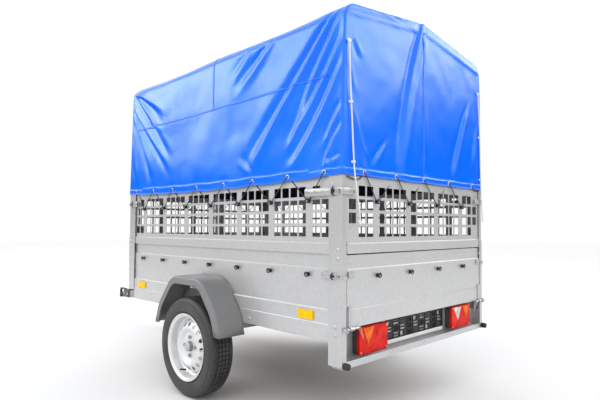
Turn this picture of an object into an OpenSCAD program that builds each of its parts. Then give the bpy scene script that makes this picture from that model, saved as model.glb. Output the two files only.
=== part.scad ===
// Garden trailer: a single-axle box trailer of folded zinc-coated sheet, with
// perforated extension sides, a drop tailgate, a jockey wheel and a tall cover.
// Frame: +X forward to the coupling, +Y left, +Z up, Z = 0 on the ground.
// Sizes are in millimetres. The origin is under the middle of the whole trailer.

/* [Box] */
// Length of the box over its posts
box_l = 2030; // [1700:10:2500]
// Width of the box over its posts
box_w = 1300; // [1080:10:1560]
// Height of the sides' lower edge above the ground
side_bottom_z = 427; // [380:1:520]
// Height of the fixed lower sides
side_h = 388; // [330:1:480]
// Thickness of the folded sheet
sheet_t = 2; // [1.5:0.1:3]
// Depth of the folded edges
fold_d = 24; // [15:1:32]
// Thickness of the floor board
floor_t = 12; // [9:1:18]
// Height of the floor board's underside above the sides' lower edge
floor_rise = 50; // [45:1:70]

/* [Corner posts] */
// Width of a post on the side of the box
post_side_w = 80; // [50:1:110]
// Width of a post's flange on the end of the box
post_end_w = 30; // [20:1:45]
// Thickness of the posts
post_t = 2.5; // [2:0.1:4]
// How far the rear posts reach below the sides
rear_post_drop = 102; // [60:1:130]
// How far the lower posts reach above the lower sides
post_lap = 33; // [20:1:60]

/* [Extension sides] */
// Height of the extension above the lower sides' top edge
mesh_h = 343; // [300:1:420]
// Width of one window
win_w = 48; // [30:1:60]
// Height of one window
win_h = 47; // [30:1:50]
// Width of a narrow upright bar between windows
bar_w = 10.5; // [6:0.5:20]
// Height of a bar between window rows
bar_h = 14.5; // [8:0.5:22]
// Width of a wide upright bar
wide_bar_w = 43.5; // [25:0.5:80]
// Height of the plain strip above the windows
mesh_top_strip = 44; // [25:1:80]

/* [Tailgate] */
// Gap between a gate and its posts
gate_gap = 5; // [5:0.5:10]
// Height of the tailgate's lower edge above the sides' lower edge
gate_rise = 62; // [55:1:80]
// Radius of the hinge pins
hinge_pin_r = 5; // [4:0.5:7]

/* [Rear beam] */
// How far the lamp board is set in from the rear
board_set = 60; // [50:1:90]
// Height of the lip along the rear beam
lip_h = 30; // [20:1:40]
// Width of a tail lamp
lamp_w = 212; // [150:1:240]
// Height of a tail lamp
lamp_h = 126; // [100:1:132]
// Depth of a tail lamp
lamp_d = 46; // [35:1:55]
// Distance of a tail lamp's middle from the centreline
lamp_y = 410; // [385:1:430]
// Width of the number plate holder
plate_w = 530; // [500:1:540]
// Height of the number plate holder
plate_h = 116; // [110:1:130]
// Radius of a rubber stop
stop_r = 15; // [10:1:20]
// How far a rubber stop stands behind the lip
stop_l = 28; // [15:1:45]

/* [Wheels] */
// Distance of the axle ahead of the rear of the box
wheel_x = 1005; // [900:5:1150]
// Outer diameter of a tyre
tyre_d = 540; // [500:1:580]
// Width of a tyre
tyre_w = 148; // [135:1:165]
// Gap between the box and a tyre
tyre_gap = 11; // [8:1:30]
// Diameter of the rim over its flanges
rim_d = 366; // [340:1:380]
// Width of the rim over its flanges
rim_w = 134; // [120:1:136]
// Distance of the bolting face outward from the rim's middle
rim_offset = 30; // [10:1:45]
// Diameter of the wheel bolts' circle
bolt_circle_d = 100; // [98:1:112]
// Number of air holes in a wheel disc
air_holes = 16; // [8:1:20]

/* [Mudguards] */
// Length of a mudguard at its lower ends
guard_l = 664; // [620:1:760]
// Height of a mudguard's top above the ground
guard_top_z = 652; // [630:1:720]
// Height of a mudguard's lower ends above the ground
guard_bottom_z = 367; // [330:1:420]
// Width of the lip around the wheel opening
guard_lip = 40; // [20:1:55]
// Thickness of a mudguard
guard_t = 4; // [3:0.5:6]

/* [Axle] */
// Side of the square axle beam
axle_s = 60; // [50:1:80]
// Distance of the axle beam ahead of the wheels
arm_lead = 125; // [90:1:150]
// Height of the axle beam's middle above the wheels' middle
arm_rise = 52; // [30:1:75]

/* [Drawbar] */
// Distance of the coupling's tip ahead of the box
drawbar_reach = 1580; // [1000:10:1700]
// Side of the square drawbar
drawbar_s = 60; // [50:1:80]
// Wall of the drawbar
drawbar_wall = 4; // [3:0.5:6]
// Radius of the socket for the tow ball
ball_r = 25.2; // [25:0.1:26]

/* [Jockey wheel] */
// Distance of the jockey wheel's tube ahead of the box
jockey_reach = 670; // [400:10:900]
// Distance of its tube to the right of the centreline
jockey_side = 165; // [165:1:190]
// Diameter of the jockey wheel
jockey_d = 200; // [160:1:200]
// Width of the jockey wheel
jockey_w = 58; // [40:1:70]
// Radius of the outer tube
jockey_r = 24; // [24:0.5:30]
// Distance of the wheel's middle behind the tube
jockey_trail = 28; // [20:1:28]
// Travel of the inner tube
jockey_travel = 130; // [80:1:150]

/* [Cover] */
// Height of the ridge above the extension's top
ridge_h = 849; // [500:1:1100]
// Height from the ridge down to the line of the eaves
gable_h = 87; // [60:1:160]
// Height of the hem below the extension's top
hem_drop = 12; // [6:1:40]
// Radius of the cover's eaves
eave_r = 90; // [40:1:120]
// Thickness of the cover
cover_t = 3; // [2:0.5:4]
// Radius of the tubes that carry the cover
hoop_r = 12; // [10:0.5:16]
// Number of hoops under the cover
hoops = 3; // [2:1:5]

/* [Hidden] */
$fn = 48;

fit = 0.5;          // gap between parts that are bolted together
run_fit = 0.05;     // radial gap of a turning fit
slide_fit = 0.3;    // radial gap of a sliding tube

// Box: u is a distance inward from the outer face of the posts
half_w = box_w / 2;
side_top_z = side_bottom_z + side_h;
mesh_top_z = side_top_z + mesh_h;
floor_top_z = side_bottom_z + floor_rise + floor_t;
band_u = post_t + fit;           // the sides' lowest bands
reflector_u = band_u + 1;        // band that carries the side reflectors
flat_u = band_u + 7;             // the flat middle of a side
top_band_u = flat_u + 6;         // the sides' top band
crease_z = [side_bottom_z + 72, side_bottom_z + 134, side_bottom_z + 312];
crease_h = 6;                    // height over which a crease steps in or out
mesh_band_u = post_t * 2 + fit * 4;
mesh_u = mesh_band_u + 6;
mesh_crease_z = side_top_z + 43;
mesh_band_bottom_z = side_top_z - 7;
panel_end = 22;                  // how far the sides stop short of the box's ends
rail_w = 40;
rail_in_y = half_w - band_u - sheet_t - 3 - rail_w;
side_foot_x = box_l - post_side_w - 4;   // the sides' lowest bands stop short of the front posts
member_w = 40;
member_z = side_bottom_z + 8;
saddle_x = box_l * 0.73;
front_member_x = box_l - panel_end - 45;

// Ends: the same steps seen along X, from the plane of the rear or the front
end_flat_u = 2;
end_top_band_u = end_flat_u + 6;
end_mesh_band_u = 2;
end_mesh_u = end_mesh_band_u + 6;
gate_half_w = half_w - post_end_w - gate_gap;
gate_bottom_z = side_bottom_z + gate_rise;
gate_top_z = side_top_z - 11;
mesh_gate_bottom_z = side_top_z + 1;
mesh_gate_top_z = mesh_top_z - 2;
front_bottom_z = side_bottom_z + 59;

// Windows
column_pitch = win_w + bar_w;
group_pitch = 4 * column_pitch - bar_w + wide_bar_w;
win_top_z = mesh_top_z - mesh_top_strip;
row_pitch = win_h + bar_h;
side_groups = floor((box_l - 2 * post_side_w - 3.5 * column_pitch) / group_pitch);

// Rear beam
beam_bottom_z = side_bottom_z - rear_post_drop - 7;
lamp_z = beam_bottom_z + 96;
hinge_x = -hinge_pin_r - 5.5;
hinge_z = gate_bottom_z - 3;
hinge_y = gate_half_w - 16;
strap_w = 24;
strap_h = 96;

// Wheels and axle
wheel_z = tyre_d / 2;
tyre_y = half_w + tyre_gap + tyre_w / 2;
guard_out_y = half_w + 165;
bolting_y = tyre_y + rim_offset;
rim_seat_r = rim_d / 2 - 17.5;
disc_t = 4;
stub_r = 15;
beam_x = wheel_x + arm_lead;
beam_z = wheel_z + arm_rise;
arm_y = half_w - 42;
arm_t = 26;

// Drawbar and coupling
drawbar_top_z = beam_z - axle_s / 2;
drawbar_z = drawbar_top_z - drawbar_s / 2;
coupling_x = box_l + drawbar_reach;
ball_x = coupling_x - 62;
head_w = 76;
sleeve_l = 110;

// Jockey wheel
jockey_x = box_l + jockey_reach;
jockey_z = jockey_d / 2;
fork_top_z = jockey_d + 15;
outer_bottom_z = fork_top_z + jockey_travel + 6;
outer_l = 430;
inner_r = jockey_r - 2.5 - slide_fit;
stem_r = inner_r - 4;
axle_pin_r = 6;

// Cover
ridge_z = mesh_top_z + ridge_h;
eave_z = ridge_z - gable_h;
hem_z = mesh_top_z - hem_drop;
cover_gap = 1.5;
cover_half_w = half_w + cover_gap + cover_t;
cover_taper = 18;                // how far each side leans in up to the eaves
cover_end = cover_gap + cover_t;
hoop_y = half_w - 56;
hoop_inset = 45;
eave_rail_z = eave_z - 37;
ridge_rail_z = ridge_z - 28;

// Rope: a corner lace hangs free from its eyelet down the rear of the cover
rope_r = 3.5;
rope_sides = 8;
rope_left_points = [
    [-12, 617, 1742], [-12, 616, 1700], [-12, 614, 1650], [-12, 612, 1600], [-12, 609, 1550],
    [-12, 606, 1500], [-12, 603, 1450], [-13, 600, 1400], [-13, 597, 1350], [-13, 594, 1300],
    [-14, 591, 1250], [-14, 588, 1205], [-15, 582, 1150], [-17, 574, 1100], [-18, 565, 1050],
    [-19, 557, 1000], [-20, 551, 950]];
rope_right_points = [
    [-12, -588, 1742], [-12, -592, 1700], [-12, -597, 1650], [-12, -602, 1600], [-12, -606, 1550],
    [-12, -609, 1500], [-12, -611, 1450], [-13, -612, 1400], [-13, -613, 1350], [-13, -614, 1300],
    [-14, -614, 1250], [-14, -615, 1205], [-15, -616, 1150], [-17, -618, 1100], [-18, -620, 1050],
    [-19, -624, 1000], [-20, -628, 975]];

// The origin is under the middle of the whole trailer
mid_x = (coupling_x - stop_l - sheet_t) / 2;

zinc = "#b9bcbe";
dark_zinc = "#9a9da0";
black = "#1c1c1d";
guard_grey = "#6b6d6f";
lamp_red = "#e02a12";
amber = "#f7b500";
cover_blue = "#0a6cff";
rope_white = "#f2f2ee";

// ---------------------------------------------------------------- geometry helpers

function unit(v) = v / norm(v);
function left_of(v) = [-v[1], v[0]];
function reversed(list) = [for (i = [len(list) - 1:-1:0]) list[i]];

// Outline of a bent strip: a path and its copy t to the left, with mitred bends
function strip(path, t) =
    let (
        n = len(path),
        normals = [for (i = [0:n - 2]) left_of(unit(path[i + 1] - path[i]))],
        shifted = [for (i = [0:n - 1])
            let (a = normals[max(i - 1, 0)], b = normals[min(i, n - 2)])
            path[i] + (a + b) / (1 + a * b) * t])
    concat(path, reversed(shifted));

// The points of a round bend at b between the lines from a and to c
function bend(a, b, c, r, steps = 8) =
    let (
        ua = unit(a - b),
        uc = unit(c - b),
        half = acos(ua * uc) / 2,
        centre = b + unit(ua + uc) * r / sin(half),
        from = b + ua * r / tan(half) - centre,
        to = b + uc * r / tan(half) - centre,
        turn = 180 - 2 * half,
        side = sign(from[0] * to[1] - from[1] * to[0]))
    [for (i = [0:steps])
        let (angle = side * turn * i / steps)
        centre + [from[0] * cos(angle) - from[1] * sin(angle),
                  from[0] * sin(angle) + from[1] * cos(angle)]];

// Extrudes an outline drawn in Y and Z along X, from x0
module along_x(x0, length) translate([x0, 0, 0]) rotate([90, 0, 90]) linear_extrude(length) children();

// Extrudes an outline drawn in X and Z along Y, from y0
module along_y(y0, length) translate([0, y0 + length, 0]) rotate([90, 0, 0]) linear_extrude(length) children();

// Turns a profile of radius and height about an axis along Y
module about_y(x, y, z) translate([x, y, z]) rotate([-90, 0, 0]) rotate_extrude($fn = 96) children();

module rod_y(x, y0, z, r, length) translate([x, y0, z]) rotate([-90, 0, 0]) cylinder(r = r, h = length);
module rod_x(x0, y, z, r, length) translate([x0, y, z]) rotate([0, 90, 0]) cylinder(r = r, h = length);
module block(from, to) translate(from) cube(to - from);
module both_sides() {
    children();
    mirror([0, 1, 0]) children();
}

// A round bar between two points
module bar(from, to, r) {
    run = to - from;
    translate(from)
        rotate([0, acos(run[2] / norm(run)), atan2(run[1], run[0])])
            cylinder(r = r, h = norm(run));
}

// A tube swept along a list of points
module swept_tube(points, r, sides) {
    n = len(points);
    rings = [for (i = [0:n - 1])
        let (
            ahead = unit(points[min(i + 1, n - 1)] - points[max(i - 1, 0)]),
            across = unit(cross(ahead, [0, 1, 0])),
            other = cross(ahead, across))
        for (k = [0:sides - 1])
            points[i] + r * (across * cos(360 * k / sides) + other * sin(360 * k / sides))];
    skin = [for (i = [0:n - 2]) for (k = [0:sides - 1])
        let (next = (k + 1) % sides)
        [i * sides + k, i * sides + next, (i + 1) * sides + next, (i + 1) * sides + k]];
    caps = [[for (k = [sides - 1:-1:0]) k], [for (k = [0:sides - 1]) (n - 1) * sides + k]];
    polyhedron(rings, concat(skin, caps));
}

// ---------------------------------------------------------------- frame

module side_rails() color(dark_zinc)
    both_sides()
        block([board_set + 2 * fit, rail_in_y, side_bottom_z + sheet_t + fit],
              [side_foot_x, rail_in_y + rail_w, floor_top_z - floor_t]);

module cross_members() color(dark_zinc)
    for (x = [board_set + 12, box_l * 0.27, saddle_x, front_member_x])
        block([x, -rail_in_y, member_z], [x + member_w, rail_in_y, floor_top_z - floor_t]);

module floor_board() color("#8a6a4a")
    block([end_flat_u + fold_d + 8, -half_w + flat_u + 8, floor_top_z - floor_t],
          [box_l - panel_end - 6, half_w - flat_u - 8, floor_top_z]);

// ---------------------------------------------------------------- lower box

// Section of a side as [distance inward, height], from its lower fold to its top fold
function side_section(fold) = [
    [band_u + fold, side_bottom_z],
    [band_u, side_bottom_z],
    [band_u, crease_z[0] - 1],
    [reflector_u, crease_z[0] + 1],
    [reflector_u, crease_z[1]],
    [flat_u, crease_z[1] + crease_h],
    [flat_u, crease_z[2]],
    [top_band_u, crease_z[2] + crease_h],
    [top_band_u, side_top_z],
    [top_band_u + fold, side_top_z]];

module side_panel() color(zinc)
    difference() {
        along_x(panel_end, box_l - 2 * panel_end)
            polygon([for (p = strip(side_section(fold_d), -sheet_t)) [half_w - p[0], p[1]]]);
        block([side_foot_x, half_w - 60, side_bottom_z - 1], [box_l, half_w + 1, front_bottom_z]);
    }
module side_panel_left() side_panel();
module side_panel_right() mirror([0, 1, 0]) side_panel();

// Section of an end wall, u inward from the end's plane
function end_section(bottom, top, fold) = [
    [end_flat_u + fold, bottom],
    [end_flat_u - 2, bottom],
    [end_flat_u - 2, crease_z[1]],
    [end_flat_u, crease_z[1] + crease_h],
    [end_flat_u, crease_z[2]],
    [end_top_band_u, crease_z[2] + crease_h],
    [end_top_band_u, top],
    [end_top_band_u + fold - 4, top]];

module front_panel() color(zinc) {
    wall_half = half_w - post_t - 6;
    along_y(-wall_half, 2 * wall_half)
        polygon([for (p = strip(end_section(front_bottom_z, side_top_z, 14), -sheet_t))
            [box_l - post_t - fit - p[0], p[1]]]);
}

// An angle post in plan, its outer corner at the box's rear left corner
module post_plan(inset, side_w, t) {
    far = half_w - inset;
    polygon([
        [inset, half_w - post_end_w], [inset, far], [side_w, far],
        [side_w, far - t], [inset + t, far - t], [inset + t, half_w - post_end_w]]);
}

module front_post_plan(inset, side_w, t) translate([box_l, 0]) mirror([1, 0]) post_plan(inset, side_w, t);

module lower_posts() color(zinc)
    both_sides() {
        translate([0, 0, side_bottom_z - rear_post_drop])
            linear_extrude(side_top_z + post_lap - side_bottom_z + rear_post_drop)
                post_plan(0, post_side_w, post_t);
        translate([0, 0, front_bottom_z])
            linear_extrude(side_top_z + post_lap - front_bottom_z)
                front_post_plan(0, post_side_w, post_t);
    }

module upper_posts() color(zinc)
    both_sides()
        translate([0, 0, side_top_z - 6])
            linear_extrude(mesh_top_z - side_top_z + 6) {
                post_plan(post_t + fit, post_side_w + 2, post_t);
                front_post_plan(post_t + fit, post_side_w + 2, post_t);
            }

// ---------------------------------------------------------------- extension sides

// Windows in X and Z: groups of four columns between wide bars, from the first wide bar on
module windows(first, groups, edge_columns, skip_corner) {
    starts = [for (g = [0:groups - 1]) first + g * group_pitch + wide_bar_w / 2];
    for (row = [0:3]) {
        z = win_top_z - row * row_pitch - win_h;
        for (start = starts) for (column = [0:3])
            translate([start + column * column_pitch, z]) square([win_w, win_h]);
        for (column = [0:edge_columns - 1]) if (row > 0 || column < edge_columns - 1 || !skip_corner) {
            last = first + groups * group_pitch + wide_bar_w / 2;
            translate([last + column * column_pitch, z]) square([win_w, win_h]);
            translate([first - wide_bar_w / 2 - column * column_pitch - win_w, z]) square([win_w, win_h]);
        }
    }
}

module mesh_side() color(zinc) {
    first = box_l / 2 - side_groups * group_pitch / 2;
    end = panel_end + 8;
    // perforated sheet
    along_y(half_w - mesh_u - sheet_t, sheet_t)
        difference() {
            translate([end, mesh_crease_z]) square([box_l - 2 * end, mesh_top_z - mesh_crease_z]);
            windows(first, side_groups, 2, true);
        }
    // lower band that steps out over the side's top edge
    along_x(end, box_l - 2 * end)
        polygon([for (p = strip([
            [mesh_band_u, mesh_band_bottom_z],
            [mesh_band_u, mesh_crease_z - crease_h],
            [mesh_u, mesh_crease_z],
            [mesh_u, mesh_crease_z + 4]], -sheet_t)) [half_w - p[0], p[1]]]);
    // folded top edge
    along_x(end, box_l - 2 * end)
        polygon([for (p = strip([
            [mesh_u, mesh_top_z - 4],
            [mesh_u, mesh_top_z],
            [mesh_u + fold_d, mesh_top_z],
            [mesh_u + fold_d, mesh_top_z - 12]], -sheet_t)) [half_w - p[0], p[1]]]);
}
module mesh_side_left() mesh_side();
module mesh_side_right() mirror([0, 1, 0]) mesh_side();

// An end of the extension, drawn for the rear, between bottom and top
module mesh_end(half, bottom, top) {
    along_x(end_mesh_u, sheet_t)
        difference() {
            translate([-half, mesh_crease_z]) square([2 * half, top - mesh_crease_z]);
            windows(-1.5 * group_pitch, 3, 2, false);
            for (row = [1:2]) for (side = [-1, 1])
                translate([side * (1.5 * group_pitch + wide_bar_w / 2 + 2 * column_pitch + win_w / 2 + 8),
                           win_top_z - row * row_pitch - win_h / 2])
                    square([win_w, win_h], center = true);
        }
    along_y(-half, 2 * half) {
        polygon(strip([
            [end_mesh_band_u, bottom],
            [end_mesh_band_u, mesh_crease_z - crease_h],
            [end_mesh_u, mesh_crease_z],
            [end_mesh_u, mesh_crease_z + 4]], -sheet_t));
        polygon(strip([
            [end_mesh_u, top - 4],
            [end_mesh_u, top],
            [end_mesh_u + fold_d - 4, top],
            [end_mesh_u + fold_d - 4, top - 12]], -sheet_t));
    }
    // folded upright edges
    both_sides()
        block([end_mesh_u, half - sheet_t, mesh_crease_z], [end_mesh_u + fold_d - 4, half, top]);
}
module mesh_gate() color(zinc) mesh_end(gate_half_w, mesh_gate_bottom_z, mesh_gate_top_z);
module mesh_front() color(zinc)
    translate([box_l, 0, 0]) mirror([1, 0, 0]) mesh_end(gate_half_w, side_top_z + fit, mesh_gate_top_z);

// ---------------------------------------------------------------- tailgate

module tailgate() color(zinc) {
    along_y(-gate_half_w, 2 * gate_half_w)
        polygon(strip([
            [end_flat_u + fold_d, gate_bottom_z],
            [end_flat_u - 2, gate_bottom_z],
            [end_flat_u - 2, crease_z[1] + 3],
            [end_flat_u, crease_z[1] + 3 + crease_h],
            [end_flat_u, crease_z[2]],
            [end_top_band_u, crease_z[2] + crease_h],
            [end_top_band_u, gate_top_z],
            [end_top_band_u + fold_d - 6, gate_top_z]], -sheet_t));
    both_sides()
        block([end_top_band_u, gate_half_w - sheet_t, gate_bottom_z],
              [end_flat_u + fold_d, gate_half_w, gate_top_z]);
}

// Hinge straps that turn on the pins, and the latches' catch plates
module tailgate_fittings() color(zinc)
    both_sides() {
        difference() {
            union() {
                rod_y(hinge_x, hinge_y - strap_w / 2, hinge_z, hinge_pin_r + 4, strap_w);
                block([hinge_x - 2, hinge_y - strap_w / 2, hinge_z + 2],
                      [end_flat_u - 2 - fit, hinge_y + strap_w / 2, hinge_z + 10]);
                block([-fit - 4, hinge_y - strap_w / 2, hinge_z + 2],
                      [-fit, hinge_y + strap_w / 2, hinge_z + strap_h]);
            }
            rod_y(hinge_x, hinge_y - strap_w, hinge_z, hinge_pin_r + run_fit, 2 * strap_w);
        }
        block([-fit - 3, gate_half_w - 46, crease_z[2] - 34], [-fit, gate_half_w - 4, crease_z[2] - 8]);
    }

module hinge_brackets() color(zinc)
    both_sides() {
        rod_y(hinge_x, hinge_y - 52, hinge_z, hinge_pin_r, half_w - 6 - hinge_y + 52);
        difference() {
            block([hinge_x - hinge_pin_r - 3, half_w - 22, hinge_z - 12], [-fit, half_w - 14, hinge_z + 10]);
            rod_y(hinge_x, half_w - 60, hinge_z, hinge_pin_r, 80);
        }
    }

// ---------------------------------------------------------------- rear beam and lamps

module lamp_board() color(zinc) {
    beam_half = half_w - post_t - fit;
    web_half = rail_in_y - 2;
    along_y(-beam_half, 2 * beam_half)
        polygon(strip([
            [-sheet_t, beam_bottom_z + lip_h],
            [-sheet_t, beam_bottom_z],
            [board_set, beam_bottom_z],
            [board_set, side_bottom_z - 1]], sheet_t));
    // the upper part stands between the sides
    along_y(-web_half, 2 * web_half)
        polygon(strip([
            [board_set, side_bottom_z - 12],
            [board_set, side_bottom_z + floor_rise - sheet_t],
            [board_set + 10, side_bottom_z + floor_rise - sheet_t]], sheet_t));
}

module rubber_stops() color(black)
    both_sides()
        rod_x(-sheet_t - stop_l, half_w - stop_r + 3, beam_bottom_z + lip_h / 2, stop_r, stop_l);

// A lamp housing with its lens, standing on the board
module tail_lamp() {
    back = board_set - sheet_t - fit;
    color(black)
        block([back - lamp_d + 10, lamp_y - lamp_w / 2 + 2, lamp_z - lamp_h / 2 + 2],
              [back, lamp_y + lamp_w / 2 - 2, lamp_z + lamp_h / 2 - 2]);
    color(lamp_red)
        along_x(back - lamp_d, 10)
            polygon(concat(
                lamp_corner(1, 1), lamp_corner(-1, 1), lamp_corner(-1, -1), lamp_corner(1, -1)));
}
function lamp_corner(sy, sz) =
    let (
        r = 12,
        w = lamp_w / 2,
        h = lamp_h / 2,
        start = sy > 0 ? (sz > 0 ? 0 : 270) : (sz > 0 ? 90 : 180))
    [for (i = [0:4]) [
        lamp_y + sy * (w - r) + r * cos(start + 22.5 * i),
        lamp_z + sz * (h - r) + r * sin(start + 22.5 * i)]];
module tail_lamp_left() tail_lamp();
module tail_lamp_right() mirror([0, 1, 0]) tail_lamp();

module number_plate_holder() color(black) {
    back = board_set - sheet_t - fit;
    bottom = beam_bottom_z + 36;
    difference() {
        block([back - 9, -plate_w / 2, bottom], [back, plate_w / 2, bottom + plate_h]);
        block([back - 10, -plate_w / 2 + 4, bottom + 20], [back - 4, plate_w / 2 - 4, bottom + plate_h - 4]);
    }
}

module side_reflectors() color(amber)
    both_sides()
        for (x = [222, box_l - 203])
            block([x - 48, half_w - reflector_u + fit / 2, crease_z[0] + 10],
                  [x + 48, half_w - reflector_u + 8, crease_z[0] + 50]);

// ---------------------------------------------------------------- mudguards

// Outline of the arch, inset all round, from the rear leg over to the front leg
function guard_arch(inset) =
    let (
        h = guard_l / 2,
        foot = [h - inset, 0],
        knee = [h - 41 - inset, 120],
        top = guard_top_z - guard_bottom_z - inset,
        shoulder = [h - 185 - inset * 0.45, top],
        half_arch = concat(
            [foot],
            bend(foot, knee, shoulder, 160 - inset),
            bend(knee, shoulder, [0, top], 95 - inset)))
    [for (p = reversed(half_arch)) [wheel_x + p[0], guard_bottom_z + p[1]]];
module guard_plan(inset) {
    right = guard_arch(inset);
    left = [for (p = reversed(right)) [2 * wheel_x - p[0], p[1]]];
    polygon(concat(left, right));
}
module mudguard() color(guard_grey) {
    along_y(half_w + fit, guard_out_y - half_w - fit)
        difference() {
            guard_plan(0);
            translate([0, -1]) guard_plan(guard_t);
        }
    // lip around the wheel opening
    along_y(guard_out_y - guard_t, guard_t)
        difference() {
            guard_plan(0);
            translate([0, -1]) guard_plan(guard_lip);
        }
    // flange along the box
    along_y(half_w + fit, guard_t)
        difference() {
            guard_plan(0);
            translate([0, -1]) guard_plan(18);
        }
}
module mudguard_left() mudguard();
module mudguard_right() mirror([0, 1, 0]) mudguard();

// ---------------------------------------------------------------- axle and wheels

module axle_beam() color(dark_zinc) {
    half = arm_y - arm_t / 2;
    block([beam_x - axle_s / 2, -half, beam_z - axle_s / 2], [beam_x + axle_s / 2, half, beam_z + axle_s / 2]);
    // plates that hang the beam from the side rails
    both_sides() {
        block([beam_x - 70, rail_in_y - 28, beam_z + axle_s / 2 - 20], [beam_x + 70, rail_in_y - 20, member_z + 38]);
        block([beam_x - 70, rail_in_y - 21, member_z], [beam_x + 70, rail_in_y, member_z + 38]);
    }
}

module swing_arms() color(dark_zinc)
    both_sides() {
        hull()
            for (p = [[beam_x, beam_z, 34], [wheel_x, wheel_z, 28]])
                rod_y(p[0], arm_y - arm_t / 2, p[1], p[2], arm_t, $fn = 32);
        rod_y(wheel_x, arm_y, wheel_z, stub_r, bolting_y - 20 - arm_y);
    }

// Tyre section: radius and distance from its middle
module tyre() color(black) {
    crown = tyre_d / 2;
    half = tyre_w / 2;
    bead = rim_seat_r + 2;
    bead_half = rim_w / 2 - 12;
    section = [
        [bead, bead_half - 2], [bead + 16, bead_half], [rim_d / 2 + 6, half - 8], [rim_d / 2 + 20, half - 2],
        [rim_d / 2 + 34, half], [crown - 36, half - 3], [crown - 20, half - 9], [crown - 9, half - 18],
        [crown - 3, half - 30], [crown, half - 52]];
    about_y(wheel_x, tyre_y, wheel_z)
        polygon(concat(section, [for (p = reversed(section)) [p[0], -p[1]]]));
}

// Rim barrel and disc as one bent sheet each, with air holes and bolt holes
module rim() color("#d4d6d8") {
    half = rim_w / 2;
    flange = rim_d / 2;
    well = rim_seat_r - 24;
    face = rim_offset;
    difference() {
        about_y(wheel_x, tyre_y, wheel_z) {
            polygon(strip([
                [flange, -half], [rim_seat_r + 2, -half + 9], [rim_seat_r, -half + 20],
                [rim_seat_r - 3, -half + 34], [well, -half + 48], [well, half - 62],
                [rim_seat_r - 3, half - 44], [rim_seat_r, half - 20], [rim_seat_r + 2, half - 9],
                [flange, half]], 3));
            polygon(strip([
                [29, face], [74, face], [86, face + 8], [97, face + 15], [106, face + 14],
                [118, face + 8], [132, face - 4], [well - 3.2, face - 14], [well - 3.2, face - 32]], disc_t));
        }
        for (i = [0:air_holes - 1])
            translate([wheel_x, tyre_y, wheel_z]) rotate([0, 360 * i / air_holes, 0])
                rod_y(120, -rim_w, 0, 11, 2 * rim_w);
        for (i = [0:3])
            translate([wheel_x, tyre_y, wheel_z]) rotate([0, 90 * i, 0])
                rod_y(bolt_circle_d / 2, face - 10, 0, 7, 30);
    }
}

// Hub with its running bore, bolts and grease cap
module hub() color(dark_zinc) {
    face = bolting_y - fit;
    difference() {
        union() {
            rod_y(wheel_x, face - 12, wheel_z, 66, 12);
            rod_y(wheel_x, arm_y + arm_t / 2 + 8, wheel_z, 34, face - 12 - arm_y - arm_t / 2 - 8);
            rod_y(wheel_x, face, wheel_z, 28, 12);
            rod_y(wheel_x, face + 12, wheel_z, 24, 14);
            for (i = [0:3])
                translate([wheel_x, 0, wheel_z]) rotate([0, 90 * i, 0]) {
                    rod_y(bolt_circle_d / 2, face - 1, 0, 6, disc_t + 3);
                    rod_y(bolt_circle_d / 2, face + disc_t + 2 * fit, 0, 9.5, 9);
                }
        }
        rod_y(wheel_x, arm_y, wheel_z, stub_r + run_fit, bolting_y - 16 - arm_y);
    }
}
module tyre_left() tyre();
module rim_left() rim();
module hub_left() hub();
module tyre_right() mirror([0, 1, 0]) tyre();
module rim_right() mirror([0, 1, 0]) rim();
module hub_right() mirror([0, 1, 0]) hub();

// ---------------------------------------------------------------- drawbar and coupling

module drawbar() color(dark_zinc)
    difference() {
        block([wheel_x - 60, -drawbar_s / 2, drawbar_z - drawbar_s / 2],
              [coupling_x - 190, drawbar_s / 2, drawbar_top_z]);
        block([wheel_x - 61, -drawbar_s / 2 + drawbar_wall, drawbar_z - drawbar_s / 2 + drawbar_wall],
              [coupling_x - 189, drawbar_s / 2 - drawbar_wall, drawbar_top_z - drawbar_wall]);
    }

// Saddles that carry the box's front and rear cross members on the drawbar
module drawbar_brackets() color(dark_zinc)
    for (x = [saddle_x, front_member_x])
        both_sides()
            block([x - 20, drawbar_s / 2, drawbar_z - 20], [x + member_w + 20, drawbar_s / 2 + 6, member_z]);

module coupling_body() color(black)
    difference() {
        union() {
            // sleeve over the drawbar's end
            block([coupling_x - 190 - sleeve_l + 40, -head_w / 2, drawbar_z - drawbar_s / 2 - 7],
                  [coupling_x - 150, head_w / 2, drawbar_top_z + 6]);
            // neck
            along_y(-24, 48)
                polygon([
                    [coupling_x - 151, drawbar_z - 37], [ball_x, drawbar_z - 46], [ball_x, drawbar_z - 14],
                    [coupling_x - 120, drawbar_z + 8], [coupling_x - 151, drawbar_z + 24]]);
            // ball housing
            translate([ball_x, 0, drawbar_z - 46]) cylinder(r = 37, h = 30);
            translate([ball_x, 0, drawbar_z - 16]) cylinder(r1 = 37, r2 = 26, h = 10);
        }
        block([coupling_x - 350, -drawbar_s / 2 - fit, drawbar_z - drawbar_s / 2 - fit],
              [coupling_x - 189, drawbar_s / 2 + fit, drawbar_top_z + fit]);
        translate([ball_x, 0, drawbar_z - 47]) cylinder(r = ball_r, h = 26);
        translate([ball_x, 0, drawbar_z - 22]) cylinder(r1 = ball_r, r2 = 16, h = 9);
    }

// Handle: a flat loop that bridges from the neck to the nose
module coupling_handle() color(black)
    along_y(-11, 22)
        polygon(strip(concat(
            [[coupling_x - 132, drawbar_z + 17]],
            bend([coupling_x - 132, drawbar_z + 17], [coupling_x - 118, drawbar_z + 40],
                 [coupling_x, drawbar_z + 40], 14),
            bend([coupling_x - 118, drawbar_z + 40], [coupling_x, drawbar_z + 40],
                 [coupling_x, drawbar_z - 30], 34),
            [[coupling_x, drawbar_z - 20], [coupling_x - 16, drawbar_z - 30]]), -12));

// ---------------------------------------------------------------- jockey wheel

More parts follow.
